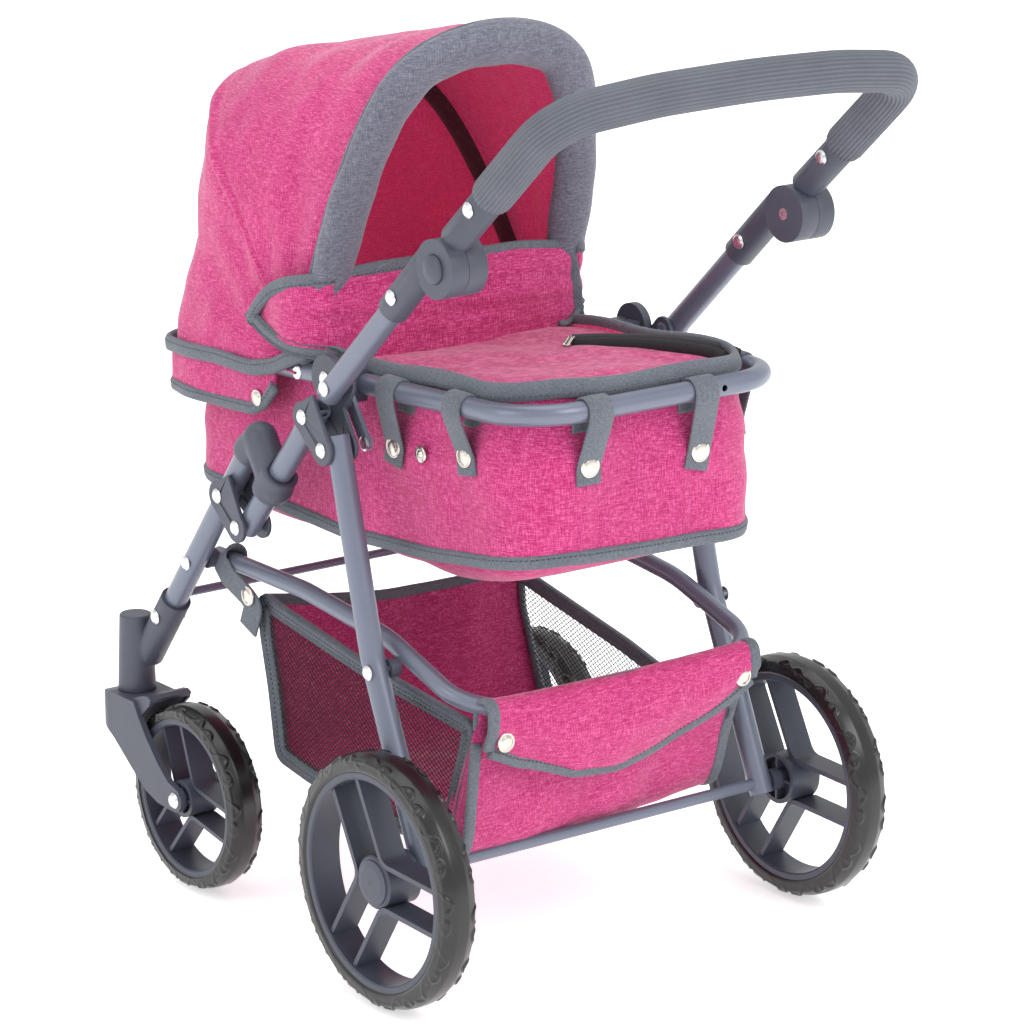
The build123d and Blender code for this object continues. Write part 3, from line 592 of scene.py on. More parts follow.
# ------------------------------------------------------------------ tyres: moulded foam with raised shapes on the shoulders
def tyre(name, R, rb, w, c, body, node, k):
    h = w / 2
    d = 1.7                                   # depth of the relief
    prof = np.array([(rb + 0.1, -h + 1.2), (rb + 1.6, -h + 0.2), (R - 11, -h + 0.1), (R - 5, -h + 1.2), (R - 1.8 - d, -h + 4.2), (R - d, -h + 8.5),
                     (R - d + 0.2, 0), (R - d, h - 8.5), (R - 1.8 - d, h - 4.2), (R - 5, h - 1.2), (R - 11, h - 0.1), (rb + 1.6, h - 0.2), (rb + 0.1, h - 1.2)])
    prof = smooth(resample(prof, 74), 3)
    n = 420
    T = tangent(prof)
    nr = np.stack([-T[:, 1], T[:, 0]], 1)
    if nr[37, 0] < 0:
        nr = -nr
    dd = np.r_[0, np.cumsum(np.linalg.norm(np.diff(prof, axis=0), axis=1))]
    s_mid = dd[-1] / 2
    a = np.linspace(0, 2 * np.pi, n, endpoint=False)
    AA, SS = np.meshgrid(a, dd - s_mid, indexing="ij")
    rel = np.zeros_like(AA)
    for sgn in (1, -1):
        u = AA * k / (2 * np.pi) + (0.25 if sgn < 0 else 0.0)
        f = u - np.floor(u)                   # one S and one drop in each period
        q = SS * sgn - 13.0                   # distance from the middle of the shoulder
        per = 2 * np.pi * R / k
        x = (f - 0.36) * per
        s_line = np.abs(q - 4.6 * np.sin(np.clip(x / (0.30 * per), -1, 1) * np.pi * 0.95)) - 1.1
        s_in = np.maximum(s_line, np.abs(x) - 0.30 * per)
        x2 = (f - 0.84) * per
        ring = np.abs(np.hypot(x2 / 1.5, q * 0.9) - 2.7) - 0.9
        g = np.minimum(s_in, ring)
        rel = np.maximum(rel, 1 / (1 + np.exp(np.clip(g / 0.28, -30, 30))) * (np.abs(q) < 9.5))
    rel += 0.5 * np.exp(-((np.abs(SS) - (s_mid - 7.5)) / 0.8) ** 2)
    r = prof[None, :, 0] + nr[None, :, 0] * rel * d * 0.95
    x = prof[None, :, 1] + nr[None, :, 1] * rel * d * 0.15
    P = np.stack([c[0] + x, c[1] + r * np.cos(AA), c[2] + r * np.sin(AA)], -1)
    o = grid(name, P, [FOAM], cu=True, flip=False)
    n_v = P.shape[1]
    bm = bmesh.new()
    bm.from_mesh(o.data)
    bm.verts.ensure_lookup_table()
    for i in range(n):
        j = (i + 1) % n
        f = bm.faces.new([bm.verts[i * n_v], bm.verts[i * n_v + n_v - 1], bm.verts[j * n_v + n_v - 1], bm.verts[j * n_v]])
        f.smooth = True
    bmesh.ops.recalc_face_normals(bm, faces=bm.faces)
    bm.to_mesh(o.data)
    bm.free()
    return keep(o, body, [node])


for s, sx in (("left", 1), ("right", -1)):
    tyre("tyre_rear_" + s, 85.0, 71.3, 26.0, (sx * 170.5, 0, 85.0), "rear_wheel_" + s, "rear_tyre_" + s, 13)
    tyre("tyre_front_" + s, 65.8, 55.2, 26.0, (sx * 146.4, -254.5, 65.8), "front_wheel_" + s, "front_tyre_" + s, 11)


# ------------------------------------------------------------------ carrycot
def loop(w, y0, y1, rf, rr, ns=(26, 12, 70, 12, 34)):
    """Rounded plan from the middle of the rear end, round by the left side: points and outward normals."""
    pts, nrm = [], []

    def seg(a, b, n, m):
        for q in np.linspace(0, 1, n, endpoint=False):
            pts.append((a[0] + (b[0] - a[0]) * q, a[1] + (b[1] - a[1]) * q))
            nrm.append(m)

    def arc(c, r, a0, a1, n):
        for q in np.linspace(0, 1, n, endpoint=False):
            a = math.radians(a0 + (a1 - a0) * q)
            pts.append((c[0] + r * math.cos(a), c[1] + r * math.sin(a)))
            nrm.append((math.cos(a), math.sin(a)))
    seg((0, y1), (w - rr, y1), ns[0], (0, 1))
    arc((w - rr, y1 - rr), rr, 90, 0, ns[1])
    seg((w, y1 - rr), (w, y0 + rf), ns[2], (1, 0))
    arc((w - rf, y0 + rf), rf, 0, -90, ns[3])
    seg((w - rf, y0), (-w + rf, y0), ns[4], (0, -1))
    arc((-w + rf, y0 + rf), rf, -90, -180, ns[3])
    seg((-w, y0 + rf), (-w, y1 - rr), ns[2], (-1, 0))
    arc((-w + rr, y1 - rr), rr, 180, 90, ns[1])
    seg((-w + rr, y1), (0, y1), ns[0], (0, 1))
    return np.array(pts), np.array(nrm)


def hem_z(x, y):
    side = np.interp(y, [-345, -230, -140, -47, 27, 57], [270, 268.5, 266, 272.6, 283.0, 284.0])
    rear = np.interp(x, [-98, -37, 6, 70, 98], [280, 283.5, 284.5, 288, 285])
    t = np.clip((y - 20) / 30, 0, 1)
    return side * (1 - t) + rear * t


def top_z(x, y):
    rear = np.interp(x, [-96, -42, 15, 70, 96], [393, 395, 396, 400, 397])
    side = rail_z(y) + np.interp(y, [-345, -230, -100, 20], [7, 7, 9, 10])
    t = np.clip((y - 5) / 45, 0, 1)
    return side * (1 - t) + rear * t + 1.2 * np.sin(y / 17.0 + x / 23.0)


def cot_level(v):
    w = np.interp(v, [0, 0.12, 0.3, 0.6, 1.0], [94.0, 94.6, 96.6, 99.6, 98.2])
    y1 = np.interp(v, [0, 0.12, 0.3, 0.6, 1.0], [51.0, 51.6, 54.6, 58.0, 57.0])
    y0 = np.interp(v, [0, 0.12, 0.3, 0.6, 1.0], [-333.5, -334.0, -337, -343, -342])
    return loop(w, y0, y1, 46.0, 43.0)


rows, nrows = [], []
vs = np.linspace(0, 1, 44)
for v in vs:
    xy, nn = cot_level(v)
    zt, zh = top_z(xy[:, 0], xy[:, 1]), hem_z(xy[:, 0], xy[:, 1])
    rows.append(np.column_stack([xy, zt + (zh - zt) * v]))
    nrows.append(np.column_stack([nn, np.zeros(len(nn))]))
P, NN = np.array(rows), np.array(nrows)
amp = np.sin(np.pi * np.clip(vs, 0.02, 0.98)) ** 0.7
ripple = waves(P, 3, 9, 90, 1.5, (1, 1, 0.5)) + waves(P, 5, 9, 34, 0.55) + waves(P, 8, 6, 120, 0.9, (0.2, 0.2, 2.6))
SNAPS = [(99.5, -81, 341), (99.5, -1, 351), (55, 57, 350), (-34, 57, 345), (-99.5, -81, 341), (-99.5, -1, 351)]
for sx, sy, sz in SNAPS:
    d = np.sqrt((P[..., 0] - sx) ** 2 + (P[..., 1] - sy) ** 2 + (P[..., 2] - sz) ** 2)
    ripple += 1.8 * np.exp(-(d / 20) ** 2) - 1.2 * np.exp(-((d - 34) / 14) ** 2)
seam = np.exp(-((P[..., 0] + 30) / 1.6) ** 2) * (P[..., 1] > 40) * (P[..., 2] < 336)
ripple -= 1.5 * seam
for cx in (98, -98):                                         # corner gathers
    g = np.exp(-((P[..., 0] - cx * 0.93) / 12) ** 2) * np.exp(-((P[..., 1] - 44) / 14) ** 2)
    ripple += 0.9 * g * np.sin(P[..., 2] / 5.5)
P = P + NN * (ripple * amp[:, None])[..., None]
COT = P
body = grid("cot_body", P, [PINK], cv=True, flip=True)
A_body = area_of(body)
body = thick(body, 2.4, PINK_LINING_PAINTED_BACKLIGHT)
keep(body, "upper_frame", ["carrycot"])

# grey binding on the top edge and on the hem, each with its stitch line
rim_path = smooth(P[0] + [0, 0, 0.8] + NN[0] * 0.6, 3, True)
rim = sweep("cot_rim_binding", rim_path, NN[0] * 0.35 + [0, 0, -1.0], tape(12.5, 5.4), [GREY], closed=True)
rim_st = stitches("cot_rim_stitches", np.vstack([rim_path, rim_path[:1]]) + [0, 0, -2.6], np.vstack([NN[0], NN[0][:1]]), 3.6, THREAD)
hem_path = smooth(P[-1] + [0, 0, 3.6] + NN[0] * 0.2, 3, True)
hem = sweep("cot_hem_binding", hem_path, [0, 0, 1.0], tape(9.5, 4.4), [GREY], closed=True)
hem_st = stitches("cot_hem_stitches", np.vstack([hem_path, hem_path[:1]]) + [0, 0, 1.9], np.vstack([NN[0], NN[0][:1]]), 2.5, THREAD)
for o in (rim, rim_st, hem, hem_st):
    keep(o, "upper_frame")


def puff(o, voxel, pressure, cap, frames=20):
    """Blows a closed shape up like a filled pad and keeps the result."""
    bpy.context.view_layer.objects.active = o
    m = o.modifiers.new("r", "REMESH")
    m.mode, m.voxel_size = "VOXEL", voxel
    baked(o)
    start = np.array([v.co for v in o.data.vertices], float)
    c = o.modifiers.new("c", "CLOTH")
    c.settings.use_pressure = True
    c.settings.uniform_pressure_force = pressure
    c.settings.effector_weights.gravity = 0
    c.settings.quality = 6
    c.settings.tension_stiffness = c.settings.compression_stiffness = 18
    c.settings.bending_stiffness = 0.8
    c.point_cache.frame_start, c.point_cache.frame_end = 1, frames
    sc = bpy.context.scene
    for f in range(1, frames + 1):
        sc.frame_set(f)
    dg = bpy.context.evaluated_depsgraph_get()
    me = bpy.data.meshes.new_from_object(o.evaluated_get(dg))
    end = np.array([v.co for v in me.vertices], float)
    d = end - start
    L = np.linalg.norm(d, axis=1, keepdims=True)
    d *= np.minimum(1, cap / 1000 / np.maximum(L, 1e-9))
    o.modifiers.clear()
    o.data.vertices.foreach_set("co", (start + d).ravel())
    o.data.update()
    bpy.data.meshes.remove(me)
    sc.frame_set(1)
    s = o.modifiers.new("s", "SMOOTH")
    s.iterations, s.factor = 3, 0.5
    q = o.modifiers.new("q", "SUBSURF")
    q.levels = q.render_levels = 1
    baked(o)
    o.data.polygons.foreach_set("use_smooth", [True] * len(o.data.polygons))
    return o


# padded base: it hangs a little below the hem
lv = [(0.0, 0.0, 280), (0.5, 0.5, 281), (0.9, 0.93, 281), (0.985, 0.985, 278), (0.985, 0.985, 268), (0.955, 0.96, 261), (0.86, 0.90, 256.5), (0.6, 0.7, 254), (0.3, 0.35, 253), (0.0, 0.0, 253)]
rows = []
for fx, fy, z in lv:
    xy, _ = loop(94.0 * max(fx, 0.02), -143 - 193 * max(fy, 0.02), -143 + 195 * max(fy, 0.02), 44 * max(fx, 0.02), 42 * max(fx, 0.02), (10, 6, 26, 6, 14))
    up = np.interp(xy[:, 1], [-336, -230, -50, 15, 52], [5.0, 0.0, 3.0, 15.0, 27.0])
    rows.append(np.column_stack([xy, z + up]))
Q = np.array(rows)
o = grid("cot_base", Q, [PINK], cv=True)
bm = bmesh.new()
bm.from_mesh(o.data)
bmesh.ops.holes_fill(bm, edges=bm.edges, sides=500)
bmesh.ops.recalc_face_normals(bm, faces=bm.faces)
bm.to_mesh(o.data)
bm.free()
base = puff(o, 0.006, 4.0, 5.0)
keep(base, "upper_frame")

# level cover, zipped along the far side
ny, nx = 70, 60
ys = np.linspace(-151, 50.2, ny)
hw = np.where(ys > 9, 93.0 - 41 + np.sqrt(np.maximum(41.2 ** 2 - np.maximum(ys - 9, 0) ** 2, 0)), 93.2)
U = np.linspace(-1, 1, nx)
P = np.zeros((ny, nx, 3))
P[..., 0] = U[None] * hw[:, None]
P[..., 1] = ys[:, None]
edge = np.minimum(1 - np.abs(U)[None], 0.35) / 0.35
P[..., 2] = top_z(P[..., 0], P[..., 1]) - 4.0 + 2.5 * edge * np.clip((50 - ys)[:, None] / 30, 0, 1)
P[..., 2] += (waves(P, 21, 8, 80, 1.1) + waves(P, 23, 8, 30, 0.45)) * edge
cover = grid("cot_cover", P, [PINK])                                 # outer cloth on both faces
A_cover = area_of(cover)
cover = thick(cover, 1.8, None)
keep(cover, "upper_frame")

# upright wind panel across the hood opening, with a wing along each side
plan = [(118.5, -222), (118.5, -200), (118, -180), (114.5, -163), (104, -152), (88, -147.5), (60, -147), (0, -146), (-60, -147), (-88, -147.5), (-104, -152), (-114.5, -163), (-118, -180), (-118.5, -200), (-118.5, -220)]
pp = smooth(resample(plan, 130), 6)
dd = np.r_[0, np.cumsum(np.linalg.norm(np.diff(pp, axis=0), axis=1))] 
L = dd[-1]
ztop = np.interp(dd, [0, 5, 14, 26, 45, 70, 120, 230, L - 78, L - 60, L - 30, L - 5, L], [404, 411, 420, 429, 436, 441, 443, 442, 437, 434, 426, 408, 400])
ztop = smooth(ztop[:, None], 4)[:, 0]
zbot = np.where(np.abs(pp[:, 0]) < 92, top_z(pp[:, 0], pp[:, 1]) - 3.0, np.interp(pp[:, 1], [-222, -205, -185, -160], [404, 396, 390, 388]))
zbot = smooth(zbot[:, None], 6)[:, 0]
zbot = np.minimum(zbot, ztop - 3)
nv = 26
P = np.zeros((len(pp), nv, 3))
for j, q in enumerate(np.linspace(0, 1, nv)):
    P[:, j, 0], P[:, j, 1] = pp[:, 0], pp[:, 1] - 7.0 * q * (np.abs(pp[:, 0]) < 100)
    P[:, j, 2] = zbot + (ztop - zbot) * q
nn = normals(P)
side = np.sin(np.pi * np.linspace(0, 1, nv))[None]
rip = (waves(P, 31, 8, 70, 1.8) + waves(P, 33, 8, 30, 0.6) + waves(P, 35, 4, 60, 1.2, (0.3, 0.3, 3))) * side
sg = np.sign((nn[65, 10] * np.array([0, 1, 0])).sum())
P = P + nn * sg * (rip + 3.0 * side * (np.abs(P[..., 0]) < 100))[..., None]
apron = grid("cot_wind_panel", P, [PINK], flip=sg < 0)
A_apron = area_of(apron)
apron = thick(apron, 2.0, PINK_LINING_PAINTED_BACKLIGHT, 0.0)
keep(apron, "upper_frame", ["carrycot_cover"])
top_p = P[:, -1] + [0, 0, -2.4]
trim = sweep("wind_panel_binding", top_p, [0, 0, 1], tape(9.5, 4.2), [GREY])
st1 = stitches("wind_panel_stitches", top_p + [0, 0, -2.0], nn[:, -1] * sg, 2.3, THREAD)
lowl = np.vstack([P[0, ::-1][2:], P[:36, 0] + [0, 0, 1.5]])
trim2 = sweep("wind_panel_lower_binding_left", smooth(lowl, 3), nn[0, 5], tape(4.2, 9.0), [GREY])
lowr = np.vstack([P[-1, ::-1][2:], P[-36:, 0][::-1] + [0, 0, 1.5]])
trim3 = sweep("wind_panel_lower_binding_right", smooth(lowr, 3), nn[-1, 5], tape(4.2, 9.0), [GREY])
iv = int(np.argmin(np.abs(pp[:, 0] + 99)))
vr = P[iv] + nn[iv] * sg * 1.6
trim4 = sweep("wind_panel_side_binding", smooth(vr, 2), [1, -0.3, 0], tape(8.5, 3.4), [GREY])
for o in (trim, st1, trim2, trim3, trim4):
    keep(o, "upper_frame")

# zip along the far side: tape, two rows of teeth and a slider
zs = resample([(-40, -80), (-55, -66), (-67, -43), (-77, -15), (-83, 5), (-86, 20), (-85, 31)], 90)
zs = smooth(zs, 8)
zp = np.column_stack([zs, top_z(zs[:, 0], zs[:, 1]) + 0.5])
zt = sweep("zip_tape", zp, [0, 0, 1], tape(1.0, 12.5), [ZIPTAPE])
keep(zt, "upper_frame")
T = tangent(zp)
teeth = []
tp, tf = [], []
cube = np.array([(a, b, c) for a in (-1, 1) for b in (-1, 1) for c in (-1, 1)], float)
cf = [(0, 1, 3, 2), (4, 6, 7, 5), (0, 4, 5, 1), (2, 3, 7, 6), (0, 2, 6, 4), (1, 5, 7, 3)]
tlen = np.r_[0, np.cumsum(np.linalg.norm(np.diff(zp, axis=0), axis=1))]
for k in range(int(tlen[-1] / 1.5)):
    s = k * 1.5
    p = np.array([np.interp(s, tlen, zp[:, i]) for i in range(3)])
    t = unitv(np.array([np.interp(s, tlen, T[:, i]) for i in range(3)]))
    b = unitv(np.cross(t, [0, 0, 1.0]))
    for sgn in (1, -1):
        c = p + b * sgn * 1.0 + t * (0.37 * sgn) + np.array([0, 0, 1.1])
        base_i = len(tp)
        for q in cube:
            sh = 0.8 if q[2] > 0 else 1.0
            tp.append(c + t * q[0] * 0.45 * sh + b * q[1] * 1.1 * sh + np.array([0, 0, q[2] * 0.6]))
        tf += [tuple(base_i + i for i in f) for f in cf]
keep(make("zip_teeth", np.array(tp), tf, [NET], smooth=False), "upper_frame")
sl = np.array([-42, -78.0, top_z(-42.0, -78.0) + 2.6])
slider = sweep("zip_slider", resample([sl + [-4.5, 2.2, 0], sl + [4.5, -2.2, 0]], 9), [0, 0, 1], oval(1.8, 3.4, 12), [NICKEL], scale=[0.6, 0.9, 1, 1, 0.95, 0.85, 0.75, 0.65, 0.5])
tab = sweep("zip_tab", resample([sl + [3.0, 1.0, 1.6], sl + [7.0, 4.0, 4.5], sl + [15.0, 9.0, 1.2]], 12), [0, 0, 1], tape(1.3, 4.0), [NICKEL])
keep(joined("zip_pull", [slider, tab]), "upper_frame")


# straps over the rail, with their snap fasteners
def snap(name, p, d, r=7.3):
    return revolve(name, [(0, 2.2), (r * 0.45, 2.05), (r * 0.66, 1.7), (r * 0.78, 1.0), (r * 0.84, 1.1), (r * 0.93, 1.35), (r, 0.9), (r * 1.02, 0.2), (r * 0.98, -0.4), (0, -0.6)], p, d, [NICKEL], 36)


def strap(name, foot, up, out, skew=0.0, long=0.0, w=19.0):
    """up is the rail's axis point nearest the strap, out the horizontal direction away from the cot."""
    up, out, foot = np.array(up, float), np.array(out, float), np.array(foot, float)
    side_d = np.cross(out, [0, 0, 1.0])
    rr = 8.3
    pts = [up - out * (9.6) + [0, 0, -16], up - out * 9.9 + [0, 0, -4]]
    for a in np.linspace(170, 0, 13):
        pts.append(up + out * rr * math.cos(math.radians(a)) + np.array([0, 0, rr * math.sin(math.radians(a))]))
    pts.append(up + out * (rr - 0.2) + [0, 0, -5])
    d = foot - pts[-1]
    n0 = len(pts)
    pts.append(pts[-1] + d * 0.55 + out * 1.2)
    pts.append(foot + out * 2.0)
    pts.append(foot + out * 2.2 + [0, 0, -12 - long] + side_d * skew)
    path = smooth(resample(pts, 60), 2)
    T = tangent(path)
    A = unitv(np.cross(T, side_d))
    flare = np.ones(60)
    flare[-14:] = np.linspace(1, 1.22, 14)
    sec = np.column_stack([tape(w, 2.0)[:, 1], tape(w, 2.0)[:, 0]])
    P_ = sweep(name, path, A, sec, [GREY], scale=None)
    co = np.array([v.co for v in P_.data.vertices], float)
    return P_, foot + out * 3.1


parts, snaps_ = [], []
defs = [((100.6, -81, 341), (RAIL_X, -79, rail_z(-79)), (1, 0, 0), 2), ((99.8, -6, 350), (RAIL_X, -8, rail_z(-8)), (1, 0, 0), -2),
        ((55, 57.4, 350), (54, 63, 386.9), (0, 1, 0), 0), ((-34, 57.4, 346), (-31, 63, 386.9), (0, 1, 0), 3),
        ((-100.6, -81, 341), (-RAIL_X, -79, rail_z(-79)), (-1, 0, 0), 0), ((-99.4, 14, 350), (-RAIL_X, 12, rail_z(12)), (-1, 0, 0), 2)]
for i, (ft, up, out, sk) in enumerate(defs):
    p_, sp = strap("strap_%d" % i, ft, up, out, sk)
    parts.append(p_)
    snaps_.append(snap("snap_%d" % i, sp, out))
stud = revolve("stud", [(0, 2.4), (1.6, 2.2), (2.2, 1.0), (3.4, 0.9), (5.0, 1.2), (5.6, 0.4), (5.6, -0.4), (0, -0.5)], (100.8, -55, 341), (1, 0, 0), [NICKEL], 28)
snaps_.append(stud)
straps = joined("rail_strap_set", parts)
keep(straps, "upper_frame", ["rail_straps"])
snapset = joined("strap_snap_set", snaps_)
keep(snapset, "upper_frame", ["strap_snaps"])

# ------------------------------------------------------------------ canopy
BY, BZ = -180.0, 372.6
PH = [-94, -88, -80, -66, -48.6, -39, -28, -14, 0, 9, 16.5]
CD = [171, 173, 175, 180, 203, 227, 220, 212, 213.5, 224, 233]
CW = [112.5, 112, 110.5, 108, 107.5, 108.5, 108.5, 107.5, 105.5, 103.5, 102]
CN = [7.5, 7, 6, 5, 4.8, 4.6, 4.0, 3.6, 3.4, 3.2, 3.1]


def hoop(ph, t, off=0.0):
    W, D, n = np.interp(ph, PH, CW) - off, np.interp(ph, PH, CD) - off, np.interp(ph, PH, CN)
    c, s = np.cos(t), np.sin(t)
    x = W * np.sign(c) * np.abs(c) ** (2 / n)
    h = D * np.abs(s) ** (2 / n)
    x = x * (1 - 0.045 * np.exp(-(h / 70.0) ** 2) * np.clip((ph + 88) / 30, 0, 1))     # drawn in towards the pivots
    a = np.radians(ph)
    return np.stack([x, BY + h * np.sin(a), BZ + h * np.cos(a)], -1)


def even(ph, n, off=0.0):
    t = np.linspace(0, np.pi, 1500)
    q = hoop(np.full_like(t, ph), t, off)
    return resample(q, n)


phs = np.concatenate([np.linspace(-94, -39, 62), np.linspace(-38, 16.5, 62)])
nt = 190
P = np.array([even(p, nt) for p in phs])
nn = normals(P)
mid = nn[60, nt // 2]
sg = 1 if mid[2] > 0 else -1
nn = nn * sg
arc = np.linspace(0, 1, nt)[None]
fade = np.clip(np.minimum(arc, 1 - arc) / 0.12, 0, 1) * 1.0
ph2 = phs[:, None]
rip = (waves(P, 41, 9, 110, 1.6) + waves(P, 43, 9, 40, 0.7) + 0.6 * waves(P, 45, 6, 26, 0.5)) * (0.25 + 0.75 * fade)
ang = np.arctan2(P[..., 1] - BY, P[..., 2] - BZ)
rad = np.hypot(P[..., 1] - BY, P[..., 2] - BZ)
rip += 1.0 * np.sin(ang * 17 + 1.3 * np.sin(rad / 30)) * np.exp(-((rad - 90) / 50) ** 2)
rip += 1.6 * np.exp(-((ph2 + 38.5) / 0.9) ** 2)                      # piped seam over the second bow
rip -= 0.9 * np.exp(-((ph2 + 36.6) / 0.9) ** 2) + 0.9 * np.exp(-((ph2 + 40.4) / 0.9) ** 2)
rip -= 1.6 * np.sin(np.pi * np.clip((ph2 + 38) / 52, 0, 1)) * np.clip(np.sin(np.pi * arc), 0, 1)
rip *= np.clip((16.5 - ph2) / 9, 0, 1)                               # held flat where it is sewn to the roll
P = P + nn * rip[..., None]
can = grid("canopy_cloth", P, [PINK], flip=sg < 0)
A_can = area_of(can)
can = thick(can, 1.6, PINK_LINING_PAINTED_BACKLIGHT)
CANOPY = P
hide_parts("canopy_skin")

# padded roll on the front bow
half = [(99, 6), (98, 40), (96, 80), (92.5, 120), (85, 157), (76, 186), (65, 203.5), (53, 214.5), (35, 221.5), (17, 225.5), (0, 226.5)]
full = half + [(-x, s) for x, s in reversed(half[:-1])]
rp = smooth(resample(full, 150), 5)
a = math.radians(17.5)
path = np.column_stack([rp[:, 0], BY + rp[:, 1] * math.sin(a), BZ + rp[:, 1] * math.cos(a)])
plane_n = np.array([0, math.cos(a), -math.sin(a)])
sc = 1 + 0.03 * np.sin(np.linspace(0, 40, 150)) + 0.02 * np.sin(np.linspace(0, 91, 150))
sc[:4] *= [0.7, 0.85, 0.95, 1]
sc[-4:] *= [1, 0.95, 0.85, 0.7]
roll = sweep("canopy_roll", path, plane_n, oval(9.6, 15.8, 28), [MELANGE], scale=sc)
keep(roll, "canopy_front")
T = tangent(path)
outp = unitv(np.cross(T, plane_n))
if outp[75, 2] < 0:
    outp = -outp
piping = sweep("canopy_roll_seam", path + outp * 13.2 - plane_n * 4.6, plane_n, oval(1.5, 1.5, 10), [GREY])
keep(piping, "canopy_front")
# sleeve of the second bow, inside
mid_b = even(-37, 120, 10.5)[9:-9]
mid_b[:, 0] *= 0.985
slv = sweep("canopy_middle_sleeve", mid_b, [0, math.cos(math.radians(-37)), -math.sin(math.radians(-37))], oval(8.5, 3.2, 14), [SLEEVE])
keep(slv, "canopy_middle", ["canopy_middle_bow"])

# canopy hem binding and the curtain under it
cp = [(112.5, -166, 389), (113.2, -180, 383), (113.6, -204, 372), (113.6, -228, 366.5), (113.5, -274, 366), (113, -318, 363.5), (108, -342, 362), (92, -353, 362), (50, -356.5, 363), (0, -357, 363.5)]
full = cp + [(-x, y, z) for x, y, z in reversed(cp[:-1])]
hp = smooth(resample(full, 220), 5)
outn = np.column_stack([tangent(hp)[:, 1], -tangent(hp)[:, 0], np.zeros(len(hp))])
if outn[110, 1] > 0:
    outn = -outn
hp = hp + outn * (0.7 * np.sin(np.linspace(0, 60, len(hp))))[:, None]
hb = sweep("canopy_hem_binding", hp, [0, 0, 1], tape(11, 4.6), [GREY])
hs = stitches("canopy_hem_stitches", hp + [0, 0, 2.2], outn, 2.6, THREAD)
for o in (hb, hs):
    keep(o, "upper_frame")
cc = hp[(hp[:, 1] < -205)]
ccn = outn[(hp[:, 1] < -205)]
nc = len(cc)
dist = np.r_[0, np.cumsum(np.linalg.norm(np.diff(cc, axis=0), axis=1))]
ends = np.minimum(dist, dist[-1] - dist)
P = np.zeros((nc, 16, 3))
for j, q in enumerate(np.linspace(0, 1, 16)):
    zb = np.interp(ends, [0, 12, 26, 60, 120, 400], [357, 343, 336.5, 333.5, 332, 332])
    P[:, j] = cc - ccn * (3.2 - 0.6 * q)[..., None] if np.ndim(q) else cc - ccn * (3.2 - 1.0 * q)
    P[:, j, 2] = cc[:, 2] - 3 + (zb - cc[:, 2] + 3) * q
nnc = np.repeat(ccn[:, None, :], 16, 1)
P = P + nnc * ((waves(P, 51, 8, 60, 1.0, (1, 1, 0.3)) + waves(P, 53, 6, 28, 0.4)) * np.linspace(0, 1, 16)[None])[..., None]
cur = grid("canopy_curtain", P, [PINK])
A_cur = area_of(cur)
cur = thick(cur, 1.8, PINK_LINING_PAINTED_BACKLIGHT, 0.0)
keep(cur, "upper_frame")
cb = sweep("canopy_curtain_binding", P[:, -1] + [0, 0, 1.5], [0, 0, 1], tape(9, 3.8), [GREY])
cs = stitches("canopy_curtain_stitches", P[:, -1] + [0, 0, 3.2], ccn, 2.2, THREAD)
for o in (cb, cs):
    keep(o, "upper_frame")
sn = [snap("csnap_l", (113.2, -223, 347), (1, 0, 0), 5.6), snap("csnap_r", (-113.2, -223, 347), (-1, 0, 0), 5.6)]
keep(joined("curtain_snaps", sn), "upper_frame")

# ------------------------------------------------------------------ basket
EDGE = {  # side panel outline (y, z), upper front corner first, then round by the rear
    1: [(-224, 207), (-211, 203), (-111, 188), (-75, 185), (9, 176), (2, 150), (-6, 128), (-14, 96), (-61, 89), (-80, 88), (-166, 95), (-205, 101), (-212, 146), (-222, 184)],
    -1: [(-230, 186), (-212, 182), (-111, 160), (-72, 150), (4, 146), (-8, 132), (-18, 118), (-30, 92), (-61, 88), (-80, 88), (-166, 94), (-203, 98), (-216, 130), (-228, 160)],
}


def bulge(y, z, sgn, base_x=110.5):
    v = (z - 90) / 110.0
    u = (y + 225) / 235.0
    return sgn * (base_x + 3.0 * np.sin(np.pi * np.clip(v, 0, 1)) * np.sin(np.pi * np.clip(u, 0, 1)) - 1.0)


def inside(poly, y, z):
    n, c = len(poly), False
    j = n - 1
    for i in range(n):
        yi, zi = poly[i]
        yj, zj = poly[j]
        if (zi > z) != (zj > z) and y < (yj - yi) * (z - zi) / (zj - zi) + yi:
            c = not c
        j = i
    return c


for sgn, s in ((1, "left"), (-1, "right")):
    poly = EDGE[sgn]
    py, pz, V, F, idx = 4.9, 3.7, [], [], {}

    def vert(i, k):
        if (i, k) not in idx:
            y = -232 + (i + k) * py * 0.5
            z = 80 + (k - i) * pz * 0.5
            idx[(i, k)] = len(V)
            V.append((bulge(y, z, sgn), y, z))
        return idx[(i, k)]
    for i in range(-60, 160):
        for k in range(-20, 200):
            yc = -232 + (i + k + 1) * py * 0.5
            zc = 80 + (k - i) * pz * 0.5
            if -234 < yc < 14 and 84 < zc < 210 and inside(poly, yc, zc):
                F.append((vert(i, k), vert(i + 1, k), vert(i + 1, k + 1), vert(i, k + 1)))
    o = make("basket_net_" + s, np.array(V, float), F, [NET])
    w = o.modifiers.new("w", "WIREFRAME")
    w.thickness, w.use_even_offset, w.use_replace = 0.00075, False, True
    baked(o)
    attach(o, "basket_frame")
    ed = np.array([(bulge(y, z, sgn), y, z) for y, z in poly])
    loop_p = smooth(resample(ed, 200, closed=True), 3, closed=True)
    b = sweep("basket_side_binding_" + s, loop_p, [sgn, 0, 0], tape(3.2, 9.0), [GREY], closed=True)
    keep(b, "basket_frame")
    st = stitches("basket_side_stitches_" + s, loop_p, [sgn, 0, 0], 1.9, THREAD)
    keep(st, "basket_frame")

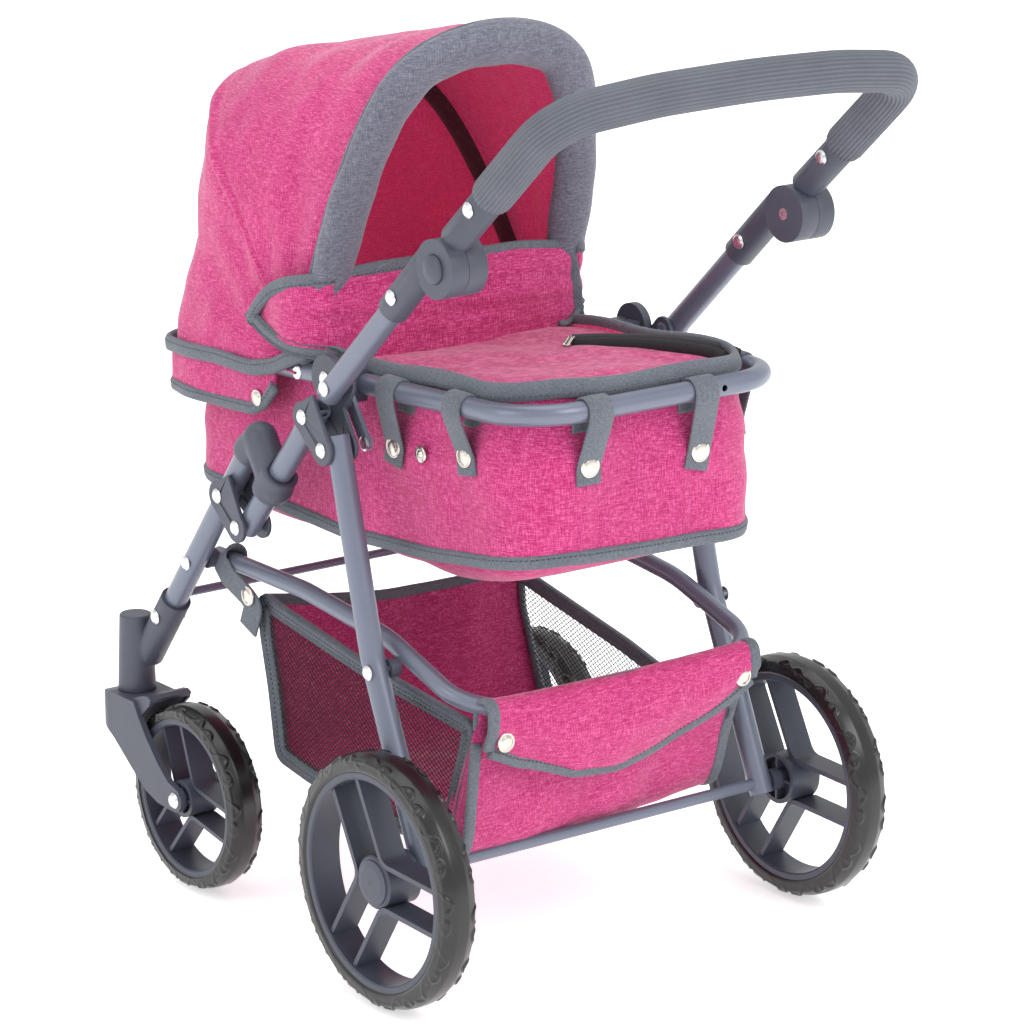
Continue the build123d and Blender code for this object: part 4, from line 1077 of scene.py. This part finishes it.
# one sheet: front wall, floor, rear wall
nu = 61
xs = np.linspace(-110, 110, nu)
prof_l = [(-224, 206), (-221, 184), (-213, 146), (-206, 103), (-198, 96), (-166, 93), (-80, 87), (-61, 87), (-10, 85), (2, 88), (7, 104), (10, 128), (13, 152), (16, 176), (20, 190)]
prof_r = [(-230, 190), (-226, 160), (-216, 130), (-205, 100), (-196, 94), (-166, 91), (-80, 86), (-61, 86), (-30, 84), (-18, 86), (-11, 100), (-4, 126), (4, 150), (14, 172), (20, 186)]
pl, pr_ = smooth(resample(prof_l, 110), 3), smooth(resample(prof_r, 110), 3)
P = np.zeros((nu, 110, 3))
for i, x in enumerate(xs):
    t = (110 - x) / 220
    q = pl * (1 - t) + pr_ * t
    P[i, :, 0] = x
    P[i, :, 1:] = q
mask = np.sin(np.pi * np.linspace(0, 1, nu))[:, None]
P[..., 2] -= 5.0 * mask * np.exp(-((P[..., 2] - 90) / 18) ** 2)
P[:, :12, 2] -= (12 - np.arange(12))[None] / 12 * 8.0 * mask
nn = normals(P)
P = P + nn * ((waves(P, 61, 9, 80, 1.8) + waves(P, 63, 9, 34, 0.7)) * mask ** 0.5)[..., None]
tub = grid("basket_shell", P, [PINK])
A_tub = area_of(tub)
gus = []
for col, sx in ((-1, 1), (0, -1)):                                   # cloth between the net's rear edge and the rear wall
    B = P[col]
    B = resample(B[int(np.argmin(np.abs(B[:40 + 30, 1] + 61) + np.abs(B[:40 + 30, 2] - 87))):int(np.argmin(np.abs(B[:, 2] - 178) + 1000 * (np.arange(110) < 70))) + 1], 40)
    A_ = resample([B[0], [B[0][0], -34, 108], [B[0][0], -8, 129 if sx > 0 else 124], [B[0][0], 5, 156], B[-1]], 40)
    t_ = np.linspace(0, 1, 14)[:, None, None]
    G = A_[None] * (1 - t_) + B[None] * t_
    G[..., 0] += sx * 1.6 * np.sin(np.pi * t_[..., 0])
    gus.append(keep(thick(grid("basket_gusset_%s" % ("left" if sx > 0 else "right"), G, [PINK]), 1.2, None, 0.0), "basket_frame"))
tub = thick(tub, 1.8, None, 0.0)
keep(tub, "basket_frame", ["basket_fabric"])
ft = sweep("basket_front_binding", smooth(P[:, 0], 2), [0, 0, 1], tape(8.5, 3.4), [GREY])
keep(ft, "basket_frame")
for sgn, col in ((1, -1), (-1, 0)):
    rb = P[col][58:104] + [sgn * 0.6, 1.2, 0]
    o = sweep("basket_rear_edge_%s" % ("left" if sgn > 0 else "right"), rb, [1, 0, 0], tape(8.5, 3.2), [GREY])
    keep(o, "basket_frame")

# rear flap wrapped over the tube
xf = np.linspace(-107, 107, 70)
low = np.interp(xf, [-107, -80, -34, 2, 39, 85, 103, 107], [171, 158, 141, 134.5, 137, 152, 161, 163])
P = np.zeros((70, 34, 3))
for i, x in enumerate(xf):
    c = np.array([24.0, 190.0 - 0.00016 * (110 ** 2 - x ** 2)])
    sec = [c + [-9, -22], c + [-8.2, -6]] + [c + np.array([7.6 * math.cos(q), 7.6 * math.sin(q)]) for q in np.radians([170, 140, 110, 80, 50, 20])]
    bl = 5.0 * math.sin(math.pi * (x + 107) / 214)
    sec += [c + [8.0 + bl * 0.6, -8], np.array([c[0] + 7.0 + bl, (c[1] + low[i]) / 2]), np.array([c[0] + 3.5 + bl * 0.4, low[i] + 6]), np.array([c[0] + 2.0, low[i]])]
    q = smooth(resample(sec, 34), 1)
    P[i, :, 0], P[i, :, 1:] = x, q
nn = normals(P)
P = P + nn * ((waves(P, 71, 8, 60, 1.3) + waves(P, 73, 8, 26, 0.5)) * np.clip((np.arange(34) - 12) / 10, 0, 1)[None])[..., None]
flap = grid("basket_flap", P, [PINK])
A_flap = area_of(flap)
flap = thick(flap, 1.8, None, 0.0)
keep(flap, "basket_frame")
e = smooth(P[:, -1], 2)
fb = sweep("basket_flap_binding", e + [0, 0.4, 1], [0, 0, 1], tape(9, 3.6), [GREY])
fs = stitches("basket_flap_stitches", e + [0, 0.4, 2.4], [0, 1, 0], 2.2, THREAD)
ends_ = []
for col, sgn in ((0, -1), (-1, 1)):
    q = P[col][4:-1] + [sgn * 1.0, 0, 0]
    ends_.append(sweep("fe%d" % sgn, q, [1, 0, 0], tape(9, 3.4), [GREY]))
fe = joined("basket_flap_side_bindings", ends_)
for o in (fb, fs, fe):
    keep(o, "basket_frame")
bs = [snap("bsnap", (98, 30.5, 170), (0, 1, 0), 6.6), snap("bsnap2", (-98, 30.5, 176), (0, 1, 0), 6.6)]

# front straps of the basket
fsr = []
for sgn in (1, -1):
    x = sgn * BASKET_X
    c = np.array([x, -252, 229.6])
    o_ = np.array([sgn, 0, 0.0])
    pts = [c + o_ * -8 + [0, 2, -14], c + o_ * -7.6 + [0, 0, -3]]
    pts += [c + o_ * 7.3 * math.cos(q) + np.array([0, 0, 7.3 * math.sin(q)]) for q in np.radians([150, 110, 70, 30, 0])]
    pts += [c + o_ * 6.5 + [0, 8, -9], c + o_ * 2.0 + [0, 24, -20], c + o_ * 0.5 + [0, 30, -26], c + [0, 22, -44]]
    path = smooth(resample(pts, 50), 2)
    fsr.append(sweep("fs%d" % sgn, path, np.cross(tangent(path), [0.0, 0.8, 0.6]), np.column_stack([tape(19, 2.0)[:, 1], tape(19, 2.0)[:, 0]]), [GREY]))
    bs.append(snap("bs%d" % sgn, c + o_ * 3.0 + [0, 27, -19], o_, 7.0))
keep(joined("basket_front_straps", fsr), "basket_frame")
keep(joined("basket_snaps", bs), "basket_frame")

# ------------------------------------------------------------------ what each sheet was cut to
for o, A, wd, held, rest in ((body, A_body, 0.125, "stretched", "carrycot_rail"), (cover, A_cover, 0.19, "stretched", "carrycot_rail"), (apron, A_apron, 0.06, "stretched", "carrycot_rail"),
                             (can, A_can, 0.44, "stretched", "canopy_front_bow"), (cur, A_cur, 0.034, "hung", "carrycot_rail"),
                             (tub, A_tub, 0.22, "hung", "basket_tube"), (flap, A_flap, 0.214, "hung", "basket_tube")):
    print("SHEET", o.name, round(wd, 3), round(A / wd, 3), round(A, 4))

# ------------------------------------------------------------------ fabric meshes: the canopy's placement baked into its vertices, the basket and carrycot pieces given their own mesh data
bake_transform(can)
for o in (tub, flap):
    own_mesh(o)
for o in list(bpy.data.objects):
    if o is not tub and o is not flap and o.name.startswith(("basket_net", "basket_side_binding", "basket_rear_edge", "basket_front_binding", "basket_flap_", "basket_gusset")):
        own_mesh(o)
    if o.name.startswith(("cot_body", "cot_hem_binding", "cot_base")):
        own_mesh(o)

# ------------------------------------------------------------------ floor, light, camera
me = bpy.data.meshes.new("floor")
me.from_pydata([(-30, -30, -0.0005), (30, -30, -0.0005), (30, 30, -0.0005), (-30, 30, -0.0005)], [], [(0, 1, 2, 3)])
floor = bpy.data.objects.new("floor", me)
bpy.context.scene.collection.objects.link(floor)
FM = Mat("floor_white")
FM.link(FM.ramp(FM.noise(2, 2), [(0.3, (0.955, 0.955, 0.955)), (0.7, (0.975, 0.975, 0.975))]), FM.b.inputs["Base Color"])
FM.b.inputs["Roughness"].default_value = 0.9
FM.b.inputs["Emission Color"].default_value = (1, 1, 1, 1)
FM.b.inputs["Emission Strength"].default_value = 0.5
me.materials.append(FM.m)

world = bpy.data.worlds.new("w")
bpy.context.scene.world = world
world.use_nodes = True
world.node_tree.nodes["Background"].inputs[0].default_value = (1, 1, 1, 1)
world.node_tree.nodes["Background"].inputs[1].default_value = 1.0


def area(name, loc, size, power, target=(0, 0, 0.3)):
    L = bpy.data.lights.new(name, "AREA")
    L.shape, L.size, L.energy = "SQUARE", size, power
    o = bpy.data.objects.new(name, L)
    bpy.context.scene.collection.objects.link(o)
    o.location = loc
    o.rotation_mode = "QUATERNION"
    o.rotation_quaternion = (Vector(target) - Vector(loc)).to_track_quat("-Z", "Y")
    return o


area("key", (-0.4, 2.6, 2.4), 1.6, 34)
area("side", (2.6, -0.2, 1.6), 1.4, 12)
area("top", (0.0, 0.0, 3.0), 2.2, 22)

cam_d = bpy.data.cameras.new("cam")
cam_d.lens, cam_d.sensor_width = 150.29, 36.0
cam_d.clip_start, cam_d.clip_end = 0.1, 30
cam = bpy.data.objects.new("cam", cam_d)
bpy.context.scene.collection.objects.link(cam)
yaw, pitch = math.radians(-142.81), math.radians(-15.446)
fwd = Vector((math.sin(yaw) * math.cos(pitch), math.cos(yaw) * math.cos(pitch), math.sin(pitch)))
cam.location = (1.64758, 2.07938 + S / 1000, 1.03106)
cam.rotation_mode = "QUATERNION"
cam.rotation_quaternion = fwd.to_track_quat("-Z", "Y")
bpy.context.scene.camera = cam
bpy.context.scene.view_settings.view_transform = "Standard"

bpy.context.view_layer.update()
